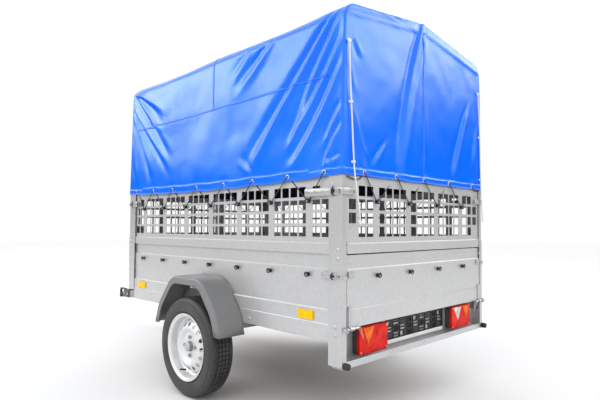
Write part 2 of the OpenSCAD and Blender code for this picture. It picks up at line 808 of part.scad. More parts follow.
module jockey_clamp() color(dark_zinc)
    difference() {
        union() {
            block([jockey_x - 34, -drawbar_s / 2, drawbar_top_z], [jockey_x + 34, drawbar_s / 2, drawbar_top_z + 6]);
            block([jockey_x - 34, -drawbar_s / 2, drawbar_top_z],
                  [jockey_x + 34, -drawbar_s / 2 + 8, outer_bottom_z + 78]);
            block([jockey_x - 16, -jockey_side, outer_bottom_z + 18],
                  [jockey_x + 16, -drawbar_s / 2 + 4, outer_bottom_z + 78]);
            translate([jockey_x, -jockey_side, outer_bottom_z + 18]) cylinder(r = jockey_r + 7, h = 60);
        }
        translate([jockey_x, -jockey_side, outer_bottom_z]) cylinder(r = jockey_r + fit / 2, h = 100);
    }

module jockey_outer_tube() color(zinc)
    translate([jockey_x, -jockey_side, outer_bottom_z])
        difference() {
            cylinder(r = jockey_r, h = outer_l);
            translate([0, 0, -1]) cylinder(r = jockey_r - 2.5, h = outer_l - 5);
        }

module jockey_crank() color(dark_zinc)
    translate([jockey_x, -jockey_side, outer_bottom_z + outer_l + fit]) {
        cylinder(r = 11, h = 22);
        block([-90, -5, 12], [0, 5, 22]);
        translate([-90, 0, 12]) cylinder(r = 7, h = 60);
    }

module jockey_inner_tube() color(zinc)
    translate([jockey_x, -jockey_side, fork_top_z + fit])
        difference() {
            cylinder(r = inner_r, h = outer_bottom_z - fork_top_z + outer_l - jockey_travel - 20);
            translate([0, 0, -1]) cylinder(r = stem_r + run_fit, h = 62);
        }

module jockey_fork() color(zinc) {
    leg_half = jockey_w / 2 + 5;
    translate([jockey_x, -jockey_side, fork_top_z - 2]) cylinder(r = stem_r, h = 58);
    block([jockey_x - 62, -jockey_side - leg_half - 5, fork_top_z - 8],
          [jockey_x + 26, -jockey_side + leg_half + 5, fork_top_z]);
    for (side = [-1, 1])
        translate([0, -jockey_side + side * (leg_half + 2.5) - 2.5, 0])
            along_y(0, 5)
                polygon([
                    [jockey_x - 62, fork_top_z], [jockey_x - jockey_trail - 16, jockey_z - 16],
                    [jockey_x - jockey_trail + 16, jockey_z - 16], [jockey_x + 24, fork_top_z]]);
    rod_y(jockey_x - jockey_trail, -jockey_side - leg_half - 9, jockey_z, axle_pin_r, 2 * leg_half + 18);
}

module jockey_wheel() color(black)
    difference() {
        about_y(jockey_x - jockey_trail, -jockey_side, jockey_z)
            polygon([
                [0, -jockey_w / 2], [24, -jockey_w / 2], [26, -12], [62, -12], [66, -jockey_w / 2 + 6],
                [jockey_d / 2 - 14, -jockey_w / 2], [jockey_d / 2 - 4, -jockey_w / 2 + 7],
                [jockey_d / 2, -12], [jockey_d / 2, 12], [jockey_d / 2 - 4, jockey_w / 2 - 7],
                [jockey_d / 2 - 14, jockey_w / 2], [66, jockey_w / 2 - 6], [62, 12], [26, 12],
                [24, jockey_w / 2], [0, jockey_w / 2]]);
        rod_y(jockey_x - jockey_trail, -jockey_side - jockey_w, jockey_z, axle_pin_r + run_fit, 2 * jockey_w);
    }

// ---------------------------------------------------------------- latches

// An over-centre latch on a side, with the loop that reaches round the corner
module latch(x0, x1, z, h, face_y) {
    block([x0, face_y, z - h / 2], [x1, face_y + 5, z + h / 2]);
    block([x0 + 8, face_y + 4, z - h / 2 + 4], [x0 + (x1 - x0) * 0.62, face_y + 12, z + h / 2 - 4]);
}
module side_latches() color(zinc)
    both_sides() {
        lower_z = crease_z[2] - 22;
        upper_z = win_top_z - win_h + 4;
        // lower rear, with its loop round the corner
        latch(20, 118, lower_z, 26, half_w + fit / 2);
        along_x(-5, 27) polygon([
            [half_w + fit / 2, lower_z - 10], [half_w + 5, lower_z - 10],
            [half_w + 5, lower_z + 10], [half_w + fit / 2, lower_z + 10]]);
        block([-5, gate_half_w + gate_gap, lower_z - 10], [-0.5, half_w + 5, lower_z + 10]);
        // upper rear
        latch(20, 236, upper_z, 36, half_w - mesh_band_u + post_t * 2);
        block([-5, half_w - mesh_band_u + post_t * 2, upper_z - 14], [22, half_w + 2, upper_z + 14]);
        block([-5, gate_half_w - 60, upper_z - 14], [-0.5, half_w + 2, upper_z + 14]);
        // upper front
        translate([box_l, 0, 0]) mirror([1, 0, 0]) {
            latch(20, 130, upper_z, 36, half_w - mesh_band_u + post_t * 2);
            block([-5, half_w - mesh_band_u + post_t * 2, upper_z - 14], [22, half_w + 2, upper_z + 14]);
            block([-5, gate_half_w - 40, upper_z - 14], [-0.5, half_w + 2, upper_z + 14]);
        }
    }

// ---------------------------------------------------------------- cover

function hoop_x(i) = hoop_inset + (box_l - 2 * hoop_inset) * i / (hoops - 1);

module cover_uprights() color(dark_zinc)
    both_sides()
        for (i = [0:hoops - 1])
            translate([hoop_x(i), hoop_y, floor_top_z])
                difference() {
                    cylinder(r = hoop_r, h = eave_rail_z - hoop_r - floor_top_z - 1);
                    translate([0, 0, -1]) cylinder(r = hoop_r - 2, h = eave_rail_z);
                }

module cover_rails() color(dark_zinc) {
    both_sides() rod_x(hoop_inset - hoop_r, hoop_y, eave_rail_z, hoop_r, box_l - 2 * (hoop_inset - hoop_r));
    rod_x(hoop_inset - hoop_r, 0, ridge_rail_z, hoop_r, box_l - 2 * (hoop_inset - hoop_r));
}

module cover_roof_bars() color(dark_zinc)
    both_sides()
        for (i = [0:hoops - 1]) {
            rise = [0, -hoop_y, ridge_rail_z - eave_rail_z];
            step = unit(rise) * (hoop_r + 3);
            bar([hoop_x(i), hoop_y, eave_rail_z] + step, [hoop_x(i), 0, ridge_rail_z] - step, hoop_r - 1);
        }

// Half outline of the cover across the trailer, inset by t, from the hem to the ridge
function cover_half(inset) =
    let (
        hem = [cover_half_w - inset, hem_z - (inset > 0 ? 1 : 0)],
        eave = [cover_half_w - cover_taper - inset, eave_z - inset * 0.9],
        ridge = [0, ridge_z - inset])
    concat([hem], bend(hem, eave, ridge, eave_r - inset, 10), [ridge]);
module cover_outline(inset) {
    half = cover_half(inset);
    polygon(concat(half, [for (i = [len(half) - 2:-1:0]) [-half[i][0], half[i][1]]]));
}
module cover() color(cover_blue)
    difference() {
        along_x(-cover_end, box_l + 2 * cover_end) cover_outline(0);
        along_x(-cover_end + cover_t, box_l + 2 * cover_end - 2 * cover_t) cover_outline(cover_t);
    }

module rope_left() color(rope_white) swept_tube(rope_left_points, rope_r, rope_sides);
module rope_right() color(rope_white) swept_tube(rope_right_points, rope_r, rope_sides);

// ---------------------------------------------------------------- the pieces in place

module placed() translate([-mid_x, 0, 0]) children();

placed() side_rails();
placed() cross_members();
placed() floor_board();
placed() side_panel_left();
placed() side_panel_right();
placed() front_panel();
placed() lower_posts();
placed() upper_posts();
placed() mesh_side_left();
placed() mesh_side_right();
placed() mesh_front();
placed() mesh_gate();
placed() lamp_board();
placed() tail_lamp_left();
placed() tail_lamp_right();
placed() number_plate_holder();
placed() rubber_stops();
placed() side_reflectors();
placed() mudguard_left();
placed() mudguard_right();
placed() axle_beam();
placed() swing_arms();
placed() drawbar();
placed() drawbar_brackets();
placed() coupling_body();
placed() coupling_handle();
placed() jockey_clamp();
placed() jockey_outer_tube();
placed() jockey_crank();
placed() side_latches();
placed() hinge_brackets();
placed() cover_uprights();
placed() cover_rails();
placed() cover_roof_bars();
placed() cover();
placed() rope_left();
placed() rope_right();
placed() tailgate();
placed() tailgate_fittings();
placed() tyre_left();
placed() rim_left();
placed() hub_left();
placed() tyre_right();
placed() rim_right();
placed() hub_right();
placed() jockey_inner_tube();
placed() jockey_fork();
placed() jockey_wheel();
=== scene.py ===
from math import atan2, cos, exp, pi, radians, sin, sqrt

import bmesh
import bpy
from mathutils import Matrix, Vector, noise
from mathutils.bvhtree import BVHTree


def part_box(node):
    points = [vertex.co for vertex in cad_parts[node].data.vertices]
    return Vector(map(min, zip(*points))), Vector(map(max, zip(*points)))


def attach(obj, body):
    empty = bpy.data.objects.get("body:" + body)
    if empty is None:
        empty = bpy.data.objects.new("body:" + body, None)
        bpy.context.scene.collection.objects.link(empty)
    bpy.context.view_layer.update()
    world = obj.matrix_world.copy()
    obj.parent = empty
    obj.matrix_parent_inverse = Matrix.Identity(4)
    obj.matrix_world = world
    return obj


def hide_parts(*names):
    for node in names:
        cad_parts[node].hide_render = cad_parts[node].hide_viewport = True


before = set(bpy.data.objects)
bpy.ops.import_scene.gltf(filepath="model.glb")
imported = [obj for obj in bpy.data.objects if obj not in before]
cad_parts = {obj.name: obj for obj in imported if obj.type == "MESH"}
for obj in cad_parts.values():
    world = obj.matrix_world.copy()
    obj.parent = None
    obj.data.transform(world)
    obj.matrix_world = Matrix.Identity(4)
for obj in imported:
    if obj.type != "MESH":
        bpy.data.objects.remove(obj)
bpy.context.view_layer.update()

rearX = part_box("lower_posts")[0].x  # the box's rear face
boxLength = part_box("lower_posts")[1].x - rearX
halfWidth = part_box("lower_posts")[1].y
scene = bpy.context.scene


def at(x, y, z):
    return Vector((rearX + x, y, z))  # x is measured forward from the box's rear face


# camera
cameraSpec = {
    "place": (-3.1838, 2.2346, 0.9244),
    "yaw": radians(-45.4555),
    "pitch": radians(1.7856),
    "roll": radians(0.2101),
    "lens": 29.481,
    "shift": (-0.02432, 0.02044),
}


def makeCamera(spec):
    yaw, pitch, roll = spec["yaw"], spec["pitch"], spec["roll"]
    ahead = Vector((cos(pitch) * cos(yaw), cos(pitch) * sin(yaw), sin(pitch)))
    level = Vector((sin(yaw), -cos(yaw), 0))
    rise = level.cross(ahead)
    right = level * cos(roll) + rise * sin(roll)
    up = rise * cos(roll) - level * sin(roll)
    camera = bpy.data.objects.new("camera", bpy.data.cameras.new("camera"))
    scene.collection.objects.link(camera)
    camera.data.lens = spec["lens"]
    camera.data.shift_x, camera.data.shift_y = spec["shift"]
    turned = Matrix((right, up, -ahead)).transposed().to_4x4()
    camera.matrix_world = Matrix.Translation(spec["place"]) @ turned
    scene.camera = camera


makeCamera(cameraSpec)
print("camera placed")


# node helpers
def feed(tree, socket, value):
    if isinstance(value, bpy.types.NodeSocket):
        tree.links.new(value, socket)
    else:
        socket.default_value = value


def addNode(tree, kind, inputs=(), **settings):
    node = tree.nodes.new("ShaderNode" + kind)
    for key, value in settings.items():
        setattr(node, key, value)
    for key, value in dict(inputs).items():
        feed(tree, node.inputs[key], value)
    return node


def newGroup(name, inputs, outputs):
    group = bpy.data.node_groups.new(name, "ShaderNodeTree")
    for label, kind, value in inputs:
        socket = group.interface.new_socket(label, in_out="INPUT", socket_type="NodeSocket" + kind)
        socket.default_value = value
    for label, kind in outputs:
        group.interface.new_socket(label, in_out="OUTPUT", socket_type="NodeSocket" + kind)
    return group, group.nodes.new("NodeGroupInput").outputs, group.nodes.new("NodeGroupOutput").inputs


def rampBetween(tree, value, low, high):
    return addNode(tree, "MapRange", {"Value": value, "From Min": low, "From Max": high}, clamp=True).outputs["Result"]


def mixed(tree, factor, a, b, blend="MIX"):
    node = addNode(tree, "Mix", data_type="RGBA", blend_type=blend)
    for socket, value in ((node.inputs[0], factor), (node.inputs[6], a), (node.inputs[7], b)):
        feed(tree, socket, value)
    return node.outputs[2]


def sums(tree, operation, a, b=0.0, c=0.0):
    node = addNode(tree, "Math", operation=operation)
    for socket, value in zip(node.inputs, (a, b, c)):
        feed(tree, socket, value)
    return node.outputs[0]


# colour clouds and fine grain, shared by the painted, moulded and rubber finishes
def makeWornFinish():
    group, given, out = newGroup(
        "wornFinish",
        [
            ("Color", "Color", (0.5, 0.5, 0.5, 1)),
            ("Mark Color", "Color", (0.4, 0.4, 0.4, 1)),
            ("Cloud Scale", "Float", 8.0),
            ("Cloud Amount", "Float", 0.3),
            ("Grain Scale", "Float", 600.0),
            ("Grain Depth", "Float", 0.1),
            ("Roughness", "Float", 0.5),
            ("Roughness Spread", "Float", 0.15),
        ],
        [("Color", "Color"), ("Roughness", "Float"), ("Normal", "Vector")],
    )
    place = addNode(group, "TexCoord").outputs["Object"]
    cloud = addNode(group, "TexNoise", {"Vector": place, "Scale": given["Cloud Scale"], "Detail": 5.0}).outputs["Fac"]
    mask = rampBetween(group, cloud, 0.42, 0.72)
    group.links.new(
        mixed(group, sums(group, "MULTIPLY", mask, given["Cloud Amount"]), given["Color"], given["Mark Color"]),
        out["Color"],
    )
    grain = addNode(group, "TexNoise", {"Vector": place, "Scale": given["Grain Scale"], "Detail": 2.0}).outputs["Fac"]
    bump = addNode(group, "Bump", {"Height": grain, "Strength": given["Grain Depth"], "Distance": 0.001})
    group.links.new(bump.outputs["Normal"], out["Normal"])
    spread = sums(group, "MULTIPLY", sums(group, "SUBTRACT", cloud, 0.5), given["Roughness Spread"])
    group.links.new(sums(group, "ADD", given["Roughness"], spread), out["Roughness"])
    return group


# crystals of the zinc bath, faint rolling streaks and handling marks
def makeZincBath():
    group, given, out = newGroup(
        "zincBath",
        [
            ("Color", "Color", (0.7, 0.7, 0.7, 1)),
            ("Crystal Scale", "Float", 70.0),
            ("Crystal Amount", "Float", 0.12),
            ("Streak Amount", "Float", 0.06),
            ("Roughness", "Float", 0.42),
            ("Stretch", "Vector", (1.5, 1.5, 90.0)),
        ],
        [("Color", "Color"), ("Roughness", "Float"), ("Normal", "Vector")],
    )
    place = addNode(group, "TexCoord").outputs["Object"]
    warp = addNode(group, "TexNoise", {"Vector": place, "Scale": 30.0, "Detail": 2.0})
    bent = addNode(group, "VectorMath", {0: place}, operation="ADD")
    shift = addNode(group, "VectorMath", {0: warp.outputs["Color"], "Scale": 0.012}, operation="SCALE")
    group.links.new(shift.outputs[0], bent.inputs[1])
    cells = addNode(group, "TexVoronoi", {"Vector": bent.outputs[0], "Scale": given["Crystal Scale"]})
    tone = addNode(group, "SeparateColor", {"Color": cells.outputs["Color"]}).outputs[0]
    lines = addNode(group, "VectorMath", {0: place, 1: given["Stretch"]}, operation="MULTIPLY")
    streak = addNode(group, "TexNoise", {"Vector": lines.outputs[0], "Scale": 2.0, "Detail": 4.0}).outputs["Fac"]
    cloud = addNode(group, "TexNoise", {"Vector": place, "Scale": 3.0, "Detail": 6.0}).outputs["Fac"]
    grey = sums(group, "MULTIPLY", sums(group, "SUBTRACT", tone, 0.5), given["Crystal Amount"])
    streaked = sums(group, "MULTIPLY", sums(group, "SUBTRACT", streak, 0.5), given["Streak Amount"])
    grey = sums(group, "ADD", grey, streaked)
    grey = sums(group, "ADD", grey, sums(group, "MULTIPLY", sums(group, "SUBTRACT", cloud, 0.5), 0.10))
    level = sums(group, "ADD", grey, 1.0)
    shade = addNode(group, "CombineColor", {0: level, 1: level, 2: level}).outputs[0]
    group.links.new(mixed(group, 1.0, given["Color"], shade, "MULTIPLY"), out["Color"])
    group.links.new(sums(group, "ADD", given["Roughness"], sums(group, "MULTIPLY", grey, -0.5)), out["Roughness"])
    bump = addNode(group, "Bump", {"Height": sums(group, "ADD", tone, streak), "Strength": 0.06, "Distance": 0.0006})
    group.links.new(bump.outputs["Normal"], out["Normal"])
    return group


wornFinish = makeWornFinish()
zincBath = makeZincBath()


def newMaterial(name, **fixed):
    material = bpy.data.materials.new(name)
    material.use_nodes = True
    shader = material.node_tree.nodes["Principled BSDF"]
    for key, value in fixed.items():
        shader.inputs[key.replace("_", " ")].default_value = value
    return material, material.node_tree, shader


def grouped(name, group, values, metallic=0.0, **fixed):
    material, tree, shader = newMaterial(name, Metallic=metallic, **fixed)
    node = addNode(tree, "Group", node_tree=group)
    for key, value in values.items():
        node.inputs[key].default_value = value
    for output, socket in (("Color", "Base Color"), ("Roughness", "Roughness"), ("Normal", "Normal")):
        tree.links.new(node.outputs[output], shader.inputs[socket])
    return material


zincSheet = grouped(
    "zincSheet", zincBath, {"Color": (0.58, 0.583, 0.587, 1), "Roughness": 0.4, "Crystal Amount": 0.06}, metallic=0.6
)
zincPost = grouped(
    "zincPost",
    zincBath,
    {"Color": (0.55, 0.553, 0.557, 1), "Roughness": 0.36, "Stretch": (60.0, 60.0, 2.0), "Crystal Amount": 0.05},
    metallic=0.6,
)
zincFrame = grouped(
    "zincFrame",
    zincBath,
    {"Color": (0.33, 0.335, 0.34, 1), "Roughness": 0.5, "Crystal Scale": 110.0, "Crystal Amount": 0.18},
    metallic=0.6,
)
zincBright = grouped(
    "zincBright",
    zincBath,
    {"Color": (0.54, 0.543, 0.547, 1), "Roughness": 0.34, "Crystal Amount": 0.05, "Crystal Scale": 160.0},
    metallic=0.85,
)
rimSilver = grouped(
    "rimSilver",
    wornFinish,
    {"Color": (0.74, 0.745, 0.75, 1), "Mark Color": (0.58, 0.58, 0.57, 1), "Cloud Scale": 14.0, "Cloud Amount": 0.25,
     "Grain Scale": 900.0, "Grain Depth": 0.08, "Roughness": 0.34},
    metallic=0.35,
    Coat_Weight=0.15,
)
tyreRubber = grouped(
    "tyreRubber",
    wornFinish,
    {"Color": (0.032, 0.032, 0.033, 1), "Mark Color": (0.085, 0.082, 0.078, 1), "Cloud Scale": 9.0, "Cloud Amount": 0.5,
     "Grain Scale": 500.0, "Grain Depth": 0.2, "Roughness": 0.52},
)
blackRubber = grouped(
    "blackRubber",
    wornFinish,
    {"Color": (0.013, 0.013, 0.014, 1), "Mark Color": (0.05, 0.05, 0.05, 1), "Grain Scale": 700.0, "Grain Depth": 0.2,
     "Roughness": 0.6},
)
blackPlastic = grouped(
    "blackPlastic",
    wornFinish,
    {"Color": (0.012, 0.012, 0.013, 1), "Mark Color": (0.03, 0.03, 0.031, 1), "Grain Scale": 1200.0,
     "Grain Depth": 0.12, "Roughness": 0.4},
)
guardPlastic = grouped(
    "guardPlastic",
    wornFinish,
    {"Color": (0.185, 0.187, 0.19, 1), "Mark Color": (0.23, 0.23, 0.228, 1), "Cloud Scale": 4.0, "Cloud Amount": 0.4,
     "Grain Scale": 900.0, "Grain Depth": 0.15, "Roughness": 0.34},
)
lampHousing = grouped(
    "lampHousing",
    wornFinish,
    {"Color": (0.045, 0.046, 0.048, 1), "Mark Color": (0.08, 0.08, 0.08, 1), "Grain Scale": 900.0,
     "Grain Depth": 0.15, "Roughness": 0.45},
)
blackPaint = grouped(
    "blackPaint",
    wornFinish,
    {"Color": (0.014, 0.014, 0.015, 1), "Mark Color": (0.06, 0.055, 0.05, 1), "Cloud Scale": 22.0,
     "Cloud Amount": 0.35, "Grain Scale": 400.0, "Grain Depth": 0.2, "Roughness": 0.36},
    Coat_Weight=0.3,
)
clipWhite = grouped(
    "clipWhite",
    wornFinish,
    {"Color": (0.86, 0.86, 0.85, 1), "Mark Color": (0.7, 0.69, 0.66, 1), "Grain Scale": 800.0, "Roughness": 0.35},
)
elasticBlack = grouped(
    "elasticBlack",
    wornFinish,
    {"Color": (0.014, 0.014, 0.016, 1), "Mark Color": (0.12, 0.12, 0.12, 1), "Cloud Scale": 420.0,
     "Cloud Amount": 0.6, "Grain Scale": 1500.0, "Grain Depth": 0.6, "Roughness": 0.7},
)
eyeletMetal = grouped(
    "eyeletMetal",
    wornFinish,
    {"Color": (0.8, 0.8, 0.8, 1), "Mark Color": (0.5, 0.48, 0.44, 1), "Roughness": 0.25, "Grain Scale": 900.0},
    metallic=0.9,
)


# braid of a laced rope, wound along its length
def makeRopeWhite():
    material, tree, shader = newMaterial("ropeWhite", Roughness=0.75)
    place = addNode(tree, "TexCoord").outputs["Object"]
    turned = addNode(tree, "Mapping", {"Vector": place, "Rotation": (0.6, 0.5, 0.7)}).outputs[0]
    back = addNode(tree, "Mapping", {"Vector": place, "Rotation": (-0.6, -0.5, -0.7)}).outputs[0]
    one = addNode(tree, "TexWave", {"Vector": turned, "Scale": 160.0, "Distortion": 0.6}).outputs["Fac"]
    two = addNode(tree, "TexWave", {"Vector": back, "Scale": 160.0, "Distortion": 0.6}).outputs["Fac"]
    braid = sums(tree, "MULTIPLY", one, two)
    tree.links.new(mixed(tree, braid, (0.72, 0.72, 0.7, 1), (0.93, 0.93, 0.92, 1)), shader.inputs["Base Color"])
    bump = addNode(tree, "Bump", {"Height": braid, "Strength": 0.5, "Distance": 0.0008})
    tree.links.new(bump.outputs["Normal"], shader.inputs["Normal"])
    return material


# film-faced board: brown film over a faint print of the grain
def makeFloorFilm():
    material, tree, shader = newMaterial("floorFilm")
    place = addNode(tree, "TexCoord").outputs["Object"]
    long = addNode(tree, "Mapping", {"Vector": place, "Scale": (1.2, 14.0, 60.0)}).outputs[0]
    grain = addNode(tree, "TexNoise", {"Vector": long, "Scale": 3.0, "Detail": 8.0, "Distortion": 0.6}).outputs["Fac"]
    tree.links.new(
        mixed(tree, rampBetween(tree, grain, 0.35, 0.7), (0.11, 0.055, 0.03, 1), (0.2, 0.11, 0.06, 1)),
        shader.inputs["Base Color"],
    )
    dots = addNode(tree, "TexVoronoi", {"Vector": place, "Scale": 180.0}).outputs["Distance"]
    bump = addNode(tree, "Bump", {"Height": sums(tree, "ADD", grain, dots), "Strength": 0.15, "Distance": 0.001})
    tree.links.new(bump.outputs["Normal"], shader.inputs["Normal"])
    tree.links.new(rampBetween(tree, grain, -0.6, 1.6), shader.inputs["Roughness"])
    return material


# coated cloth: a blue film over a plain weave, with fine creases from folding
def makeCoverFabric():
    material, tree, shader = newMaterial(
        "coverFabric", IOR=1.5, Specular_IOR_Level=0.55, Specular_Tint=(0.62, 0.93, 1.0, 1),
        Coat_Weight=0.1, Coat_Roughness=0.1,
    )
    place = addNode(tree, "TexCoord").outputs["Object"]
    cloud = addNode(tree, "TexNoise", {"Vector": place, "Scale": 2.2, "Detail": 5.0}).outputs["Fac"]
    base = mixed(tree, rampBetween(tree, cloud, 0.3, 0.7), (0.0, 0.138, 0.91, 1), (0.0, 0.16, 1.0, 1))
    creaseWarp = addNode(tree, "TexNoise", {"Vector": place, "Scale": 5.0, "Detail": 2.0}).outputs["Color"]
    moved = addNode(tree, "VectorMath", {0: place}, operation="ADD")
    pushed = addNode(tree, "VectorMath", {0: creaseWarp, "Scale": 0.12}, operation="SCALE")
    tree.links.new(pushed.outputs[0], moved.inputs[1])
    cells = addNode(tree, "TexVoronoi", {"Vector": moved.outputs[0], "Scale": 7.0}, feature="DISTANCE_TO_EDGE")
    crease = rampBetween(tree, cells.outputs["Distance"], 0.0, 0.03)
    tree.links.new(base, shader.inputs["Base Color"])
    threadX = addNode(tree, "TexWave", {"Vector": place, "Scale": 260.0}, bands_direction="X").outputs["Fac"]
    threadZ = addNode(tree, "TexWave", {"Vector": place, "Scale": 260.0}, bands_direction="Z").outputs["Fac"]
    weave = sums(tree, "MULTIPLY", sums(tree, "ADD", threadX, threadZ), 0.06)
    ripple = addNode(tree, "TexNoise", {"Vector": place, "Scale": 16.0, "Detail": 3.0}).outputs["Fac"]
    creased = sums(tree, "MULTIPLY", crease, 0.10)
    height = sums(tree, "ADD", creased, sums(tree, "ADD", weave, sums(tree, "MULTIPLY", ripple, 0.9)))
    bump = addNode(tree, "Bump", {"Height": height, "Strength": 0.13, "Distance": 0.004})
    tree.links.new(bump.outputs["Normal"], shader.inputs["Normal"])
    tree.links.new(sums(tree, "ADD", sums(tree, "MULTIPLY", ripple, 0.06), 0.13), shader.inputs["Roughness"])
    return material


# painted shade: the cover's underside is the same blue cloth, coloured near black for the shade inside the box
coverUndersideShade = grouped(
    "coverUndersideShade",
    wornFinish,
    {"Color": (0.001, 0.008, 0.05, 1), "Mark Color": (0.002, 0.012, 0.07, 1), "Cloud Scale": 3.0,
     "Grain Scale": 800.0, "Grain Depth": 0.15, "Roughness": 0.7},
)
ropeWhite = makeRopeWhite()
floorFilm = makeFloorFilm()
coverFabric = makeCoverFabric()
print("materials made")


# mesh helpers
def placePiece(name, data, body):
    piece = bpy.data.objects.new(name, data)
    scene.collection.objects.link(piece)
    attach(piece, body)
    return piece


def bevelled(shape, parts, offset, segments, affect="EDGES"):
    return bmesh.ops.bevel(
        shape, geom=list(parts), offset=offset, segments=segments, profile=0.5, affect=affect, material=-1
    )


def wholeOf(shape):
    return shape.verts[:] + shape.edges[:] + shape.faces[:]


def boxFromRear(name):
    low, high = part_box(name)
    return low - at(0, 0, 0), high - at(0, 0, 0)


def keepPiece(name, shape, materials, body="trailer", angle=35, normals=False):
    if normals:
        bmesh.ops.recalc_face_normals(shape, faces=shape.faces)
    mesh = bpy.data.meshes.new(name)
    shape.to_mesh(mesh)
    shape.free()
    mesh.shade_smooth()
    mesh.set_sharp_from_angle(angle=radians(angle))
    for material in materials:
        mesh.materials.append(material)
    return placePiece(name, mesh, body)


def paint(faces, index):
    for face in faces:
        face.material_index = index


def facesOf(verts):
    return list({face for vert in verts for face in vert.link_faces})


def addBlock(shape, low, high, soften=0.0, steps=2, paintAs=0):
    low, high = Vector(low), Vector(high)
    size = high - low
    frameOfBlock = Matrix.Translation((low + high) / 2) @ Matrix.Diagonal((size.x, size.y, size.z, 1))
    made = bmesh.ops.create_cube(shape, size=1, matrix=frameOfBlock)["verts"]
    faces = facesOf(made)
    paint(faces, paintAs)
    if soften:
        cut = bevelled(shape, {edge for vert in made for edge in vert.link_edges}, soften, steps)
        made = list({v for f in cut["faces"] for v in f.verts} | {v for v in made if v.is_valid})
    return made


def alongAxis(start, end):
    axis = Vector(end) - Vector(start)
    return Matrix.Translation((Vector(start) + Vector(end)) / 2) @ axis.to_track_quat("Z", "Y").to_matrix().to_4x4()


def addRod(shape, start, end, radius, sides=20, soften=0.0, endRadius=None, paintAs=0):
    length = (Vector(end) - Vector(start)).length
    made = bmesh.ops.create_cone(
        shape, cap_ends=True, segments=sides, radius1=radius, radius2=radius if endRadius is None else endRadius,
        depth=length, matrix=alongAxis(start, end),
    )["verts"]
    paint(facesOf(made), paintAs)
    if soften:
        rims = [e for e in {e for v in made for e in v.link_edges} if any(len(f.verts) > 4 for f in e.link_faces)]
        bevelled(shape, rims, soften, 2)
    return made


# a closed ring: a small circle spun about an axis
def addRing(shape, centre, axis, radius, thick, turns=28, sides=8, flat=1.0, paintAs=0):
    axis = Vector(axis).normalized()
    out = axis.orthogonal().normalized()
    side = axis.cross(out)
    frameOfRing = Matrix((out, axis, side)).transposed().to_4x4()
    frameOfRing.translation = Vector(centre) + out * radius
    made = bmesh.ops.create_circle(
        shape, cap_ends=False, segments=sides, radius=thick, matrix=frameOfRing @ Matrix.Diagonal((1, flat, 1, 1))
    )["verts"]
    loop = list({edge for vert in made for edge in vert.link_edges})
    spun = bmesh.ops.spin(
        shape, geom=made + loop, cent=Vector(centre), axis=axis, angle=2 * pi, steps=turns, use_merge=True
    )
    ring = facesOf([g for g in spun["geom_last"] if isinstance(g, bmesh.types.BMVert)])
    island = set(ring)
    grow = list(ring)
    while grow:
        face = grow.pop()
        for edge in face.edges:
            for other in edge.link_faces:
                if other not in island:
                    island.add(other)
                    grow.append(other)
    bmesh.ops.recalc_face_normals(shape, faces=list(island))
    paint(island, paintAs)


def addWire(name, runs, radius, material, body="trailer", closed=False):
    curve = bpy.data.curves.new(name, "CURVE")
    curve.dimensions = "3D"
    curve.bevel_depth = radius
    curve.bevel_resolution = 3
    curve.resolution_u = 6
    curve.use_fill_caps = True
    for run in runs:
        spline = curve.splines.new("POLY")
        spline.points.add(len(run) - 1)
        for point, place in zip(spline.points, run):
            point.co = (*place, 1)
        spline.use_cyclic_u = closed
        spline.use_smooth = True
    curve.materials.append(material)
    return placePiece(name, curve, body)


# points of a smooth line through the given ones
def smoothRun(points, steps=6):
    points = [Vector(p) for p in points]
    padded = [points[0] * 2 - points[1]] + points + [points[-1] * 2 - points[-2]]
    run = []
    for before, a, b, after in zip(padded, padded[1:], padded[2:], padded[3:]):
        for i in range(steps):
            t = i / steps
            run.append(
                0.5 * (2 * a + (b - before) * t + (2 * before - 5 * a + 4 * b - after) * t * t
                       + (3 * a - before - 3 * b + after) * t ** 3)
            )
    return run + [points[-1]]


# corner ropes
ropeSpec = {
    "radius": 0.0035,
    "left": [(-12, 617, 1742), (-12, 616, 1700), (-12, 614, 1650), (-12, 612, 1600), (-12, 609, 1550),
             (-12, 606, 1500), (-12, 603, 1450), (-13, 600, 1400), (-13, 597, 1350), (-13, 594, 1300),
             (-14, 591, 1250), (-14, 588, 1205), (-15, 582, 1150), (-17, 574, 1100), (-18, 565, 1050),
             (-19, 557, 1000), (-20, 551, 950)],
    "right": [(-12, -588, 1742), (-12, -592, 1700), (-12, -597, 1650), (-12, -602, 1600), (-12, -606, 1550),
              (-12, -609, 1500), (-12, -611, 1450), (-13, -612, 1400), (-13, -613, 1350), (-13, -614, 1300),
              (-14, -614, 1250), (-14, -615, 1205), (-15, -616, 1150), (-17, -618, 1100), (-18, -620, 1050),
              (-19, -624, 1000), (-20, -628, 975)],
    "clipHeights": {"left": (1.476, 1.213), "right": (1.48, 1.22)},
}


def ropeAt(points, height):
    for a, b in zip(points, points[1:]):
        if b.z <= height <= a.z:
            return a.lerp(b, (a.z - height) / (a.z - b.z))


# an overhand knot, its three lobes round the rope's line
def knotRun(centre, size):
    run = []
    for i in range(37):
        t = 2 * pi * i / 36
        lobe = Vector((0.45 * sin(3 * t), sin(t) + 2 * sin(2 * t), cos(t) - 2 * cos(2 * t)))
        run.append(Vector(centre) + size * lobe / 2)
    return run


